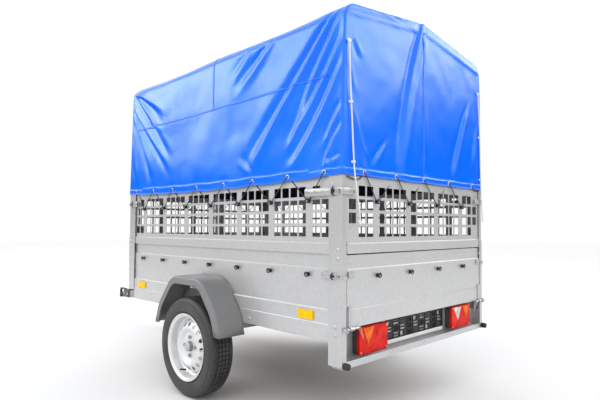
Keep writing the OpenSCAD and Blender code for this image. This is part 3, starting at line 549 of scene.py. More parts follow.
def hangRope(side):
    points = [at(x / 1000, y / 1000, z / 1000) for x, y, z in ropeSpec[side]]
    radius = ropeSpec["radius"]
    rope = addWire("rope_" + side + "_lace", [points], radius, ropeWhite)
    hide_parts("rope_" + side)
    top, end = points[0], points[-1]
    knots = addWire(
        "rope_" + side + "_knots",
        [knotRun(top + Vector((0.001, 0, 0.002)), 0.0062), knotRun(end - Vector((0, 0, 0.004)), 0.0056)],
        radius * 0.9, ropeWhite, closed=True,
    )
    shape = bmesh.new()
    for height in ropeSpec["clipHeights"][side]:
        middle = ropeAt(points, height)
        addRing(shape, middle, (0, 0, 1), 0.0062, 0.0022, turns=24, sides=8, flat=2.0)
        low, high = Vector((0.004, -0.009, -0.006)), Vector((0.0085, 0.009, 0.006))
        addBlock(shape, middle + low, middle + high, soften=0.0015)
    clips = keepPiece("rope_" + side + "_clips", shape, [clipWhite])


hangRope("left")
hangRope("right")
print("ropes hung")

# cover
# folds are (x or y, z, x or y, z, bow, width, height) in metres on the flat of a side or an end
coverSpec = {
    "grid": 0.0125,
    "roofGrid": 0.025,
    "hem": 0.040,
    "thick": 0.0011,
    "eaveBend": 0.09,
    "eaveLine": 1.920,
    "lean": 0.018,
    "edgeBend": 0.009,
    "eaveRound": 0.068,
    "pullHeight": 1.172,  # where the eyelets draw the hem in
    "seamHeight": 1.603,  # along the sides
    "seamX": 1.008,  # over the middle hoop
    "hoops": (0.045, 1.015, 1.985),
    "sideFolds": [
        (0.060, 1.905, 0.640, 1.280, 0.000, 0.027, 0.0143),
        (0.035, 1.870, 0.345, 1.335, 0.014, 0.019, 0.0093),
        (0.010, 1.790, 0.345, 1.335, -0.012, 0.022, 0.0093),
        (0.008, 1.680, 0.375, 1.195, -0.022, 0.025, 0.0077),
        (0.006, 1.480, 0.112, 1.290, 0.012, 0.016, 0.0068),
        (0.002, 1.395, 0.118, 1.175, 0.016, 0.017, 0.0093),
        (0.000, 1.238, 0.106, 1.198, 0.004, 0.012, 0.0050),
        (0.480, 1.880, 0.690, 1.722, 0.000, 0.021, 0.0056),
        (0.535, 1.860, 0.790, 1.665, 0.000, 0.023, 0.0050),
        (0.672, 1.870, 0.830, 1.735, 0.000, 0.023, 0.0040),
        (0.620, 1.205, 0.735, 1.300, 0.000, 0.018, 0.0031),
    ],
    "frontFolds": [
        (1.975, 1.850, 1.500, 1.420, 0.000, 0.021, 0.0093),
        (2.024, 1.740, 1.715, 1.270, 0.004, 0.022, 0.0124),
        (1.980, 1.735, 1.500, 1.305, 0.006, 0.019, 0.0081),
        (1.985, 1.870, 1.590, 1.665, -0.010, 0.023, 0.0062),
        (1.775, 1.642, 1.575, 1.538, 0.000, 0.018, 0.0050),
        (2.028, 1.570, 1.940, 1.250, 0.004, 0.017, 0.0074),
    ],
    "rearFolds": [
        (0.016, 2.000, 0.236, 1.180, 0.030, 0.028, 0.0110),
        (-0.020, 1.960, 0.196, 1.185, 0.026, 0.023, 0.0062),
        (-0.470, 1.640, -0.290, 1.190, 0.008, 0.023, 0.0074),
        (0.330, 1.340, 0.445, 1.205, 0.000, 0.013, 0.0037),
        (0.575, 1.430, 0.487, 1.180, 0.012, 0.017, 0.0062),
        (-0.585, 1.560, -0.535, 1.300, 0.000, 0.016, 0.0056),
        (0.575, 1.765, 0.530, 1.690, 0.000, 0.013, 0.0043),
        (0.600, 1.640, 0.575, 1.520, 0.000, 0.012, 0.0037),
        (-0.009, 1.540, 0.004, 1.185, 0.000, 0.018, 0.0040),
        (0.560, 1.985, 0.100, 1.958, 0.000, 0.016, 0.0025),
    ],
}
coverLow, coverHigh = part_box("cover")
sideEyelets = (0.108, 0.353, 0.622, 0.881, 1.157, 1.438, 1.688, 1.938)
rearEyelets = (0.494, 0.245, 0.002, -0.257, -0.530)


def fade(value, low, high):
    t = min(max((value - low) / (high - low), 0.0), 1.0)
    return t * t * (3 - 2 * t)


# a pulled fold: a crest with a hollow beside it, along a bowed line
def foldHeight(fold, u, v):
    u0, v0, u1, v1, bow, width, height = fold
    du, dv = u1 - u0, v1 - v0
    length = sqrt(du * du + dv * dv)
    du, dv = du / length, dv / length
    t = ((u - u0) * du + (v - v0) * dv) / length
    if t < -0.12 or t > 1.15:
        return 0.0
    across = -(u - u0) * dv + (v - v0) * du - 4 * bow * t * (1 - t)
    wide = width * (0.45 + 0.75 * min(max(t, 0.0), 1.0))
    s = across / wide
    if abs(s) > 4:
        return 0.0
    run = fade(t, -0.12, 0.18) * (1 - fade(t, 0.62, 1.15))
    return -height * run * s * exp(0.5 - s * s / 2)


def slackNoise(x, y, z, size, amount):
    return amount * noise.noise(Vector((x / size, y / size, z / size)))


# how far the cloth stands out of its flat at a point, with x from the box's rear face
def clothOffset(x, y, z, normal):
    edge = min(x - coverLow.x + rearX, coverHigh.x - rearX - x)
    corner = halfWidth - abs(y)
    side = 0.0
    for fold in coverSpec["sideFolds"]:
        side += foldHeight(fold, x if y > 0 else x + 0.05 * (z - 1.5), z)
    for fold in coverSpec["frontFolds"]:
        side += foldHeight(fold, x, z)
    side += slackNoise(x, y, z, 0.34, 0.006) + slackNoise(x, y, z, 0.11, 0.0016)
    side -= 0.006 * sin(pi * min(max(x / boxLength, 0), 1)) * fade(z, 1.2, 1.5)
    side *= fade(corner if abs(normal.x) > 0.7 else 1.0, -0.1, 0.0)
    end = 0.0
    for fold in coverSpec["rearFolds"]:
        end += foldHeight(fold, y if x < 1 else -y, z)
    end += slackNoise(x, y, z, 0.30, 0.004) + slackNoise(x, y, z, 0.09, 0.0012)
    end += 0.0035 * exp(-(((roofLine(y) - z - 0.045) / 0.011) ** 2))  # the roof bar shows through
    hoops = coverSpec["hoops"]
    roof = -0.010 * sum(sin(pi * (x - a) / (b - a)) ** 2 for a, b in zip(hoops, hoops[1:]) if a < x < b)
    roof += slackNoise(x, y, z, 0.22, 0.004)
    sideShare, endShare, roofShare = (abs(normal.y) ** 2, abs(normal.x) ** 2, abs(normal.z) ** 2)
    nearEnd = fade(edge, 0.004, 0.05)
    nearSide = fade(corner, 0.012, 0.06)
    offset = sideShare * side * nearEnd + endShare * end * nearSide + roofShare * roof * nearEnd
    pull = 0.0  # the eyelets draw the hem in
    if z < 1.24:
        along, spots = (x, sideEyelets) if abs(normal.y) > 0.7 else (y, rearEyelets)
        for spot in spots:
            r = sqrt((along - spot) ** 2 + (z - coverSpec["pullHeight"]) ** 2)
            pull -= 0.0045 * exp(-((r / 0.03) ** 2))
    return offset + pull - 0.003


def hemHeight(x, y, normal):
    if abs(normal.y) > abs(normal.x):
        t = min(max(x / boxLength, 0.0), 1.0)
        lift = 1.159 - 0.024 * sin(pi * t) ** 0.6
        lift += 0.0018 * cos(2 * pi * (x - sideEyelets[0]) / 0.2615)
        return lift
    return 1.1565 + 0.0015 * cos(2 * pi * (y - rearEyelets[0]) / 0.256)


def cutEvery(shape, axis, start, stop, step, wanted):
    count = max(int(round((stop - start) / step)), 1)
    normal = Vector((axis == 0, axis == 1, axis == 2))
    for i in range(1, count):
        place = start + (stop - start) * i / count
        faces = [f for f in shape.faces if wanted(f, i)]
        faces = [f for f in faces if min(v.co[axis] for v in f.verts) < place < max(v.co[axis] for v in f.verts)]
        edges = {e for f in faces for e in f.edges}
        verts = {v for f in faces for v in f.verts}
        bmesh.ops.bisect_plane(
            shape, geom=faces + list(edges) + list(verts), plane_co=normal * place, plane_no=normal, dist=1e-6
        )


def makeCover():
    spec = coverSpec
    shape = bmesh.new()
    low, high = coverLow, coverHigh
    top = spec["eaveLine"]
    hem = low.z
    wide = high.y
    addBlock(shape, (low.x, -wide, hem), (high.x, wide, top))
    bmesh.ops.delete(shape, geom=[f for f in shape.faces if f.normal.z < -0.9], context="FACES_ONLY")
    for vert in shape.verts:
        if vert.co.z > top - 1e-4:
            vert.co.y -= spec["lean"] * (1 if vert.co.y > 0 else -1)
    bmesh.ops.bisect_plane(shape, geom=wholeOf(shape), plane_co=(0, 0, 0), plane_no=(0, 1, 0), dist=1e-6)
    for vert in shape.verts:
        if abs(vert.co.y) < 1e-4 and vert.co.z > top - 1e-4:
            vert.co.z = high.z
    shape.normal_update()
    eaves = [e for e in shape.edges if all(v.co.z > top - 1e-4 and abs(v.co.y) > 0.1 for v in e.verts)
             and abs(e.verts[0].co.x - e.verts[1].co.x) > 1]
    bevelled(shape, eaves, spec["eaveRound"], 8)
    shape.normal_update()
    rims = [e for e in shape.edges if len(e.link_faces) == 2
            and e.link_faces[0].normal.angle(e.link_faces[1].normal) > 1.2
            and any(abs(f.normal.x) > 0.9 for f in e.link_faces)]
    bevelled(shape, rims, spec["edgeBend"], 3)
    shape.normal_update()
    bendX = low.x + spec["edgeBend"], high.x - spec["edgeBend"]
    bendY = wide - spec["edgeBend"] - spec["lean"]
    grid, roofGrid = spec["grid"], spec["roofGrid"]
    steep = lambda f, i: abs(f.normal.z) < 0.5
    cutEvery(shape, 2, hem, 2.0, grid, steep)
    cutEvery(shape, 1, -bendY, bendY, grid, lambda f, i: abs(f.normal.x) > 0.6 or i % 2 == 0)
    cutEvery(shape, 0, bendX[0], bendX[1], grid, lambda f, i: abs(f.normal.z) < 0.75 or i % 2 == 0)
    bmesh.ops.remove_doubles(shape, verts=shape.verts, dist=1e-5)
    shape.normal_update()
    moves = {}
    for vert in shape.verts:
        x, y, z = vert.co.x - rearX, vert.co.y, vert.co.z
        normal = vert.normal.copy()
        offset = clothOffset(x, y, z, normal)
        drop = (hemHeight(x, y, normal) - hem) * (1 - fade(z - hem, 0.0, 0.25))
        moves[vert] = (normal * offset, drop)
    for vert, (push, drop) in moves.items():
        vert.co += push
        vert.co.z += drop
    for face in shape.faces:
        face.smooth = True
    shape.normal_update()
    return shape


# strips sewn on the cover: faces lifted off it a little
def liftStrip(name, cover, chosen, lift):
    shape = cover.copy()
    drop = [f for f in shape.faces if not chosen(f.calc_center_median())]
    bmesh.ops.delete(shape, geom=drop, context="FACES")
    shape.normal_update()
    for vert in shape.verts:
        vert.co += vert.normal * lift
    strip = keepPiece(name, shape, [coverFabric], angle=60)
    thicken(strip, 0.0006, 1)
    return strip


def thicken(piece, thickness, offset=-1):
    solid = piece.modifiers.new("thickness", "SOLIDIFY")
    solid.thickness = thickness
    solid.offset = offset
    return solid


def roofLine(y):
    return coverHigh.z - (coverHigh.z - coverSpec["eaveLine"]) * abs(y) / 0.6365


coverShape = makeCover()
coverTree = BVHTree.FromBMesh(coverShape)
hemStrip = liftStrip("coverHem", coverShape, lambda p: p.z < 1.150 + coverSpec["hem"], 0.0003)
seamStrip = liftStrip(
    "coverSeams", coverShape,
    lambda p: (abs(p.z - coverSpec["seamHeight"]) < 0.008 and abs(p.y) > 0.55
               and coverLow.x + 0.1 < p.x < coverHigh.x - 0.1)
    or (abs(p.x - rearX - coverSpec["seamX"]) < 0.007 and p.z > 1.6)
    or ((p.x < coverLow.x + 0.012 or p.x > coverHigh.x - 0.012) and abs(p.y) < 0.007 and 1.2 < p.z < 1.95),
    0.0003,
)
cover = keepPiece("coverSheet", coverShape, [coverFabric, coverUndersideShade], angle=75)
thicken(cover, coverSpec["thick"]).material_offset = 1  # the underside, painted near black as shade
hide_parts("cover")
print("cover sewn", len(cover.data.polygons))

# eyelets, hooks and elastic lace
laceSpec = {
    "eyeletHeight": 1.174,
    "sag": 0.014,  # of the side eyelets at mid length
    "hookHeight": 1.048,
    "lowHookHeight": 0.711,
    "elastic": 0.0024,
    "ringRadius": 0.0085,
    "ringThick": 0.0024,
    "sideBars": [0.214 + 0.267 * i for i in range(7)],
    "endBars": [0.4005 - 0.267 * i for i in range(4)],
}


def onCover(place, inward):
    hit = coverTree.ray_cast(Vector(place) - Vector(inward) * 0.08, Vector(inward), 0.2)
    return hit[0] if hit[0] is not None else Vector(place)


def addHook(shape, base, out):
    base, out, up = Vector(base), Vector(out), Vector((0, 0, 1))
    addRod(shape, base, base + out * 0.0035, 0.0105, sides=20, soften=0.001)
    addRod(shape, base + out * 0.003, base + out * 0.014, 0.0052, sides=14)
    addRing(shape, base + out * 0.016, out, 0.0088, 0.0036, turns=20, sides=8, flat=1.0)
    tip = base + out * 0.0165
    addRod(shape, tip - up * 0.001, tip + up * 0.0125, 0.0034, sides=10)
    addRod(shape, tip - out * 0.0018, tip + out * 0.0014, 0.0060, sides=16, soften=0.0008, paintAs=1)


# one long lace: out of each eyelet, down round a hook, up behind the hem and out of the next eyelet
def laceRun(eyelets, hooks, out, along, start, stop, below=1.128):
    out = Vector(out)
    run = list(start)
    for i, eyelet in enumerate(eyelets):
        run += [eyelet - out * 0.006, eyelet + out * 0.0045 - Vector((0, 0, 0.002))]
        if i >= len(hooks):
            break
        hook = hooks[i]
        edge = eyelet.lerp(hook, 0.30)
        side = along.normalized()
        run += [
            edge + out * 0.0035,
            hook - side * 0.0075 + out * 0.0065 + Vector((0, 0, 0.004)),
            hook - side * 0.0035 + out * 0.0075 - Vector((0, 0, 0.0075)),
            hook + side * 0.0055 + out * 0.0085 - Vector((0, 0, 0.0055)),
            hook + side * 0.0080 + out * 0.0085 + Vector((0, 0, 0.003)),
        ]
        if i + 1 < len(eyelets):
            after = eyelets[i + 1]
            back = after - side * 0.030 - Vector((0, 0, 0.030)) - out * 0.0085
            run += [back.lerp(hook + out * 0.007, 0.12), back, after - out * 0.0085 - side * 0.006]
    return run + list(stop)


def lacePlace(x, y, out):
    return onCover(at(x, y, laceSpec["eyeletHeight"]), -Vector(out))


def makeLacing():
    rings, uppers, lowers, gateHooks = bmesh.new(), bmesh.new(), bmesh.new(), bmesh.new()
    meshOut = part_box("mesh_side_left")[1].y - 0.006
    sideFlat, runs = halfWidth - 0.010, []
    for sign in (1, -1):
        out = Vector((0, sign, 0))
        sag = [Vector((0, 0, laceSpec["sag"] * sin(pi * x / boxLength))) for x in sideEyelets]
        eyelets = [lacePlace(x, sign * 0.65, out) - drop for x, drop in zip(sideEyelets, sag)]
        hooks = [at(x, sign * meshOut, laceSpec["hookHeight"]) for x in laceSpec["sideBars"]]
        for hook in hooks:
            addHook(uppers, hook, out)
        for x in laceSpec["sideBars"]:
            addHook(lowers, at(x, sign * sideFlat, laceSpec["lowHookHeight"]), out)
        start = [at(0.012, sign * 0.640, 1.150), at(0.060, sign * 0.641, 1.152)]
        stop = [at(1.985, sign * 0.642, 1.150), at(2.014, sign * 0.641, 1.142)]
        runs.append(laceRun(eyelets, hooks, out, Vector((1, 0, 0)), start, stop))
        for eyelet in eyelets:
            addRing(rings, eyelet + out * 0.0016, out, laceSpec["ringRadius"], laceSpec["ringThick"], flat=0.7)
    for sign, planeX, meshX in ((-1, 0.0, 0.008), (1, boxLength, boxLength - 0.008)):
        out = Vector((sign, 0, 0))
        eyelets = [lacePlace(planeX, y, out) for y in rearEyelets]
        hooks = [at(meshX, y, laceSpec["hookHeight"] - 0.002) for y in laceSpec["endBars"]]
        for hook in hooks:
            addHook(uppers, hook, out)
        for y in laceSpec["endBars"]:
            if sign < 0:
                addHook(gateHooks, at(0.002, y, laceSpec["lowHookHeight"] - 0.006), out)
            else:
                addHook(lowers, at(boxLength - 0.005, y, laceSpec["lowHookHeight"]), out)
        inner = planeX - sign * 0.003
        start = [at(inner, 0.622, 1.150), at(inner, 0.560, 1.139), at(inner, 0.522, 1.146)]
        stop = [at(inner, -0.570, 1.150), at(inner, -0.622, 1.152)]
        runs.append(laceRun(eyelets, hooks, out, Vector((0, -1, 0)), start, stop))
        for eyelet in eyelets:
            addRing(rings, eyelet + out * 0.0016, out, laceSpec["ringRadius"], laceSpec["ringThick"], flat=0.7)
    keepPiece("coverEyelets", rings, [eyeletMetal])
    keepPiece("laceHooks", uppers, [blackPlastic, zincBright])
    keepPiece("sideHooks", lowers, [blackPlastic, zincBright])
    keepPiece("tailgateHooks", gateHooks, [blackPlastic, zincBright], body="tailgate")
    addWire("elasticLace", [smoothRun(run, 5) for run in runs], laceSpec["elastic"], elasticBlack)


makeLacing()
print("cover laced")


# rivets and bolts
boltSpec = {
    "rivet": (0.0055, 0.0022),
    "bolt": (0.0095, 0.0055),
    "lowBolt": (0.0085, 0.0045),
    "rearRivet": (0.0048, 0.0020),
    "boardBolt": (0.0060, 0.0030),
    "strapBolt": (0.0052, 0.0026),
    "catchRivet": (0.0045, 0.0022),
    "strapBolts": {"y": 0.599, "heights": (0.772, 0.540, 0.520)},
    "catchRivets": [(0.580, 0.717), (0.600, 0.717)],
    # (x, z) on a side, then (y, z) on the rear and the front
    "sideRivets": [(0.061, 1.003), (0.061, 0.899), (0.061, 0.801), (0.061, 1.118), (0.018, 0.590), (0.018, 0.770),
                   (1.972, 1.003), (1.972, 0.899), (1.972, 0.801), (1.972, 1.118), (2.006, 0.590), (2.006, 0.690)],
    "sideBolts": [(0.023, 0.829), (0.023, 0.790), (0.038, 0.495), (0.038, 0.457), (2.007, 0.829), (2.007, 0.790)],
    "lowBolts": [(1.713, 0.481), (1.713, 0.448), (0.640, 0.455), (1.370, 0.455)],
    "rearRivets": [(0.606, 0.998), (0.606, 0.928), (0.606, 0.858), (0.606, 1.098)],
    "boardBolts": [(0.600, 0.338), (0.280, 0.338), (0.0, 0.338)],
}


def addDome(shape, base, out, size):
    radius, height = size
    base, out = Vector(base), Vector(out)
    turned = alongAxis(base, base + out)
    turned.translation = base
    made = bmesh.ops.create_uvsphere(
        shape, u_segments=14, v_segments=8, radius=1, matrix=turned @ Matrix.Diagonal((radius, radius, height, 1))
    )["verts"]
    geometry = made + list({e for v in made for e in v.link_edges}) + facesOf(made)
    bmesh.ops.bisect_plane(shape, geom=geometry, plane_co=base, plane_no=out, clear_inner=True)


def makeFixings():
    body, gate = bmesh.new(), bmesh.new()
    for sign in (1, -1):
        out = Vector((0, sign, 0))
        for x, z in boltSpec["sideRivets"]:
            post = halfWidth if z < 0.848 else halfWidth - 0.003
            addDome(body, at(x, sign * post, z), out, boltSpec["rivet"])
        for x, z in boltSpec["sideBolts"]:
            addDome(body, at(x, sign * halfWidth, z), out, boltSpec["bolt"])
        for x, z in boltSpec["lowBolts"]:
            addDome(body, at(x, sign * (halfWidth - 0.003), z), out, boltSpec["lowBolt"])
        back = Vector((-1, 0, 0))
        for y, z in boltSpec["rearRivets"]:
            addDome(body, at(0.008 if z > 0.86 else 0.002, sign * y, z), back, boltSpec["rearRivet"])
        for y, z in boltSpec["boardBolts"]:
            if y or sign > 0:
                addDome(body, at(-0.002, sign * y, z), back, boltSpec["boardBolt"])
        for z in boltSpec["strapBolts"]["heights"]:
            addDome(gate, at(-0.0045, sign * boltSpec["strapBolts"]["y"], z), back, boltSpec["strapBolt"])
        for y, z in boltSpec["catchRivets"]:
            addDome(gate, at(-0.0035, sign * y, z), back, boltSpec["catchRivet"])
    keepPiece("boxRivets", body, [zincBright])
    keepPiece("tailgateRivets", gate, [zincBright], body="tailgate")


makeFixings()
print("riveted")


# latches
latchSpec = {
    "lower": {"x0": 0.020, "x1": 0.120, "z": 0.713, "height": 0.026},
    "upper": {"x0": 0.020, "x1": 0.228, "z": 1.084, "height": 0.036},
    "front": {"x0": 0.020, "x1": 0.130, "z": 1.084, "height": 0.036},
    "wire": 0.0017,
}


# an over-centre latch drawn for the rear left corner: base, cheeks, lever, roller, wire loop and corner hook
def addLatch(shape, wires, spec, face, reach, corner):
    x0, x1, z, h = spec["x0"], spec["x1"], spec["z"], spec["height"]
    half = h / 2
    block = lambda a, b, soften=0.0008, paintAs=0: addBlock(shape, at(*a), at(*b), soften, paintAs=paintAs)
    block((x0 + 0.012, face, z - half), (x1, face + 0.0022, z + half), 0.0009)
    lever = x0 + 0.030
    for edge in (-1, 1):  # cheeks
        low = z + edge * (half - 0.0022)
        block((lever - 0.006, face + 0.001, low - 0.001), (x1 - 0.012, face + 0.0105, low + 0.001), 0.0005)
    block((lever + 0.010, face + 0.0085, z - half + 0.004), (x1 - 0.004, face + 0.0112, z + half - 0.004), 0.0012)
    slots = 3 if x1 - x0 > 0.15 else 2
    span = (x1 - 0.018 - lever - 0.018) / slots
    for i in range(slots):  # pressed windows of the lever
        a = lever + 0.018 + span * i
        block((a, face + 0.0108, z - half * 0.38), (a + span * 0.72, face + 0.0122, z + half * 0.38), 0.0010)
    addRod(shape, at(lever, face + 0.0075, z - half - 0.002), at(lever, face + 0.0075, z + half + 0.002), 0.0042,
           sides=16, soften=0.0006, paintAs=1)
    tail = x1 - 0.010
    addRod(shape, at(tail, face + 0.008, z - half - 0.002), at(tail, face + 0.008, z + half + 0.002), 0.0030,
           sides=14, soften=0.0005)
    block((-0.0052, face - 0.001, z - half * 0.78), (x0 + 0.004, face + 0.0022, z + half * 0.78), 0.0008)
    block((-0.0052, corner, z - half * 0.78), (-0.0026, face + 0.0022, z + half * 0.78), 0.0008)
    block((x0 - 0.002, face + 0.001, z - half * 0.70), (x0 + 0.003, face + 0.0095, z + half * 0.70), 0.0008)
    for edge in (-1, 1):  # loop of round wire from the roller to the hook
        rim = z + edge * half * 0.58
        wires.append([at(lever, face + 0.0085, rim), at(x0 + 0.012, face + 0.0085, rim),
                      at(x0 - 0.004, face + 0.0060, rim)])
    wires.append([at(x0 - 0.004, face + 0.0060, z - half * 0.58), at(x0 - 0.004, face + 0.0060, z + half * 0.58)])
    for i in range(reach):
        y = corner + 0.012 + i * 0.022
        addDome(shape, at(-0.0052, y, z), Vector((-1, 0, 0)), (0.0042, 0.0018))


def makeLatches():
    shape, wires = bmesh.new(), []
    post = halfWidth
    addLatch(shape, wires, latchSpec["lower"], post + 0.0003, 1, 0.6215)
    addLatch(shape, wires, latchSpec["upper"], post - 0.0028, 4, 0.555)
    front, frontWires = bmesh.new(), []
    addLatch(front, frontWires, latchSpec["front"], post - 0.0028, 3, 0.575)
    turn = Matrix.Translation((2 * rearX + boxLength, 0, 0)) @ Matrix.Diagonal((-1, 1, 1, 1))
    front.transform(turn)
    bmesh.ops.reverse_faces(front, faces=front.faces)
    spare = bpy.data.meshes.new("spare")
    front.to_mesh(spare)
    shape.from_mesh(spare)
    front.free()
    bpy.data.meshes.remove(spare)
    wires += [[turn @ p for p in run] for run in frontWires]
    other = bmesh.ops.duplicate(shape, geom=wholeOf(shape))["geom"]
    flip = Matrix.Diagonal((1, -1, 1, 1))
    bmesh.ops.transform(shape, matrix=flip, verts=[g for g in other if isinstance(g, bmesh.types.BMVert)])
    bmesh.ops.reverse_faces(shape, faces=[g for g in other if isinstance(g, bmesh.types.BMFace)])
    wires += [[flip @ p for p in run] for run in wires]
    latches = keepPiece("cornerLatches", shape, [zincBright, blackPlastic])
    addWire("latchLoops", wires, latchSpec["wire"], zincBright)
    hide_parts("side_latches")


makeLatches()
print("latches fitted")

# tail lamps
lampSpec = {"corner": 0.013, "lensDeep": 0.016, "screw": 0.0042, "inset": 0.003, "lip": 0.0012, "rim": 0.0035}


# moulded prisms in a clear coloured lens
def makeLens(name, bright, deep, scale):
    material, tree, shader = newMaterial(
        name, Roughness=0.16, Coat_Weight=0.04, Specular_IOR_Level=0.16, Coat_Roughness=0.04
    )
    place = addNode(tree, "TexCoord").outputs["Object"]
    cells = addNode(tree, "TexVoronoi", {"Vector": place, "Scale": scale}, distance="MANHATTAN")
    cloud = addNode(tree, "TexNoise", {"Vector": place, "Scale": 26.0, "Detail": 3.0}).outputs["Fac"]
    tone = sums(tree, "MULTIPLY", rampBetween(tree, cloud, 0.35, 0.7), 0.85)
    tree.links.new(mixed(tree, tone, bright, deep), shader.inputs["Base Color"])
    bump = addNode(tree, "Bump", {"Height": cells.outputs["Distance"], "Strength": 0.5, "Distance": 0.002})
    tree.links.new(bump.outputs["Normal"], shader.inputs["Normal"])
    return material


lensRed = makeLens("lensRed", (0.80, 0.012, 0.002, 1), (0.42, 0.002, 0.001, 1), 260.0)
lensAmber = makeLens("lensAmber", (1.0, 0.22, 0.0, 1), (0.45, 0.06, 0.0, 1), 220.0)
lensClear = makeLens("lensClear", (0.9, 0.87, 0.84, 1), (0.35, 0.3, 0.28, 1), 200.0)
reflexAmber = makeLens("reflexAmber", (1.0, 0.62, 0.0, 1), (1.0, 0.50, 0.0, 1), 420.0)


# a flat window of a lens, from three corners in y and z, raised towards the rear
def addWindow(shape, corners, x, lift, paintAs):
    verts = [shape.verts.new(at(x, y, z)) for y, z in corners]
    face = shape.faces.new(verts)
    face.normal_update()
    if face.normal.x > 0:
        bmesh.ops.reverse_faces(shape, faces=[face])
    grown = bmesh.ops.extrude_face_region(shape, geom=[face])["geom"]
    tops = [g for g in grown if isinstance(g, bmesh.types.BMVert)]
    for vert in tops:
        vert.co.x -= lift
    shape.normal_update()
    faces = facesOf(tops)
    paint(faces, paintAs)
    edges = {e for v in tops for e in v.link_edges if all(w in tops for w in e.verts)}
    bevelled(shape, edges, lift * 0.6, 2)


def makeLamp(side):
    low, high = boxFromRear("tail_lamp_" + side)
    shape = bmesh.new()
    seam = low.x + lampSpec["lensDeep"]
    inset, lip = lampSpec["inset"], lampSpec["lip"]
    addBlock(shape, at(seam - 0.002, low.y + inset, low.z + inset), at(high.x, high.y - inset, high.z - inset), 0.006, 3)
    addBlock(shape, at(seam - 0.001, low.y + lip, low.z + lip), at(seam + 0.003, high.y - lip, high.z - lip), 0.0015, 2)
    lens = addBlock(shape, at(low.x + 0.001, low.y, low.z), at(seam, high.y, high.z), paintAs=1)
    upright = [e for e in {e for v in lens for e in v.link_edges} if abs(e.verts[0].co.x - e.verts[1].co.x) > 0.005]
    rounded = bevelled(shape, upright, lampSpec["corner"], 5)
    island = {f for v in lens if v.is_valid for f in v.link_faces} | set(rounded["faces"])
    faces = {f for g in island for v in g.verts for f in v.link_faces}
    front = [f for f in faces if f.is_valid and f.normal.x < -0.9
             and abs(f.calc_center_median().x - low.x - rearX - 0.001) < 1e-4]
    bevelled(shape, {e for f in front for e in f.edges}, lampSpec["rim"], 3)
    wide, tall = high.y - low.y, high.z - low.z
    spot = lambda u, v: (high.y - u * wide, high.z - v * tall)  # u from the left edge seen from behind, v down
    x = low.x + 0.0012
    if side == "left":
        addWindow(shape, [spot(0.14, 0.05), spot(0.50, 0.05), spot(0.30, 0.66)], x, 0.0011, 2)
        addWindow(shape, [spot(0.56, 0.10), spot(0.90, 0.12), spot(0.72, 0.40), spot(0.58, 0.42)], x, 0.0008, 1)
        addWindow(shape, [spot(0.07, 0.50), spot(0.22, 0.66), spot(0.24, 0.90), spot(0.07, 0.90)], x, 0.0008, 1)
    else:
        addWindow(shape, [spot(0.10, 0.06), spot(0.50, 0.06), spot(0.33, 0.66)], x, 0.0011, 3)
        addWindow(shape, [spot(0.60, 0.06), spot(0.94, 0.06), spot(0.80, 0.62)], x, 0.0011, 2)
        addWindow(shape, [spot(0.60, 0.62), spot(0.90, 0.66), spot(0.90, 0.92), spot(0.58, 0.92)], x, 0.0008, 1)
    addWindow(shape, [spot(0.32, 0.74), spot(0.52, 0.62), spot(0.56, 0.94), spot(0.34, 0.94)], x, 0.0007, 1)
    for u, v in ((0.055, 0.09), (0.945, 0.09), (0.055, 0.91), (0.945, 0.91)):
        y, z = spot(u, v)
        addRod(shape, at(x + 0.001, y, z), at(x - 0.0014, y, z), lampSpec["screw"], sides=14, soften=0.0005, paintAs=4)
    for v in (0.25, 0.5, 0.75):  # ribs on the housing's cheeks
        z = high.z - v * tall
        ribLow, ribHigh = at(seam + 0.004, low.y + 0.0022, z - 0.0010), at(high.x - 0.004, high.y - 0.0022, z + 0.0010)
        addBlock(shape, ribLow, ribHigh, 0.0004)
    lamp = keepPiece("tailLamp" + side.capitalize(), shape, [lampHousing, lensRed, lensAmber, lensClear, zincBright],
                     angle=40)
    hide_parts("tail_lamp_" + side)


makeLamp("left")
makeLamp("right")


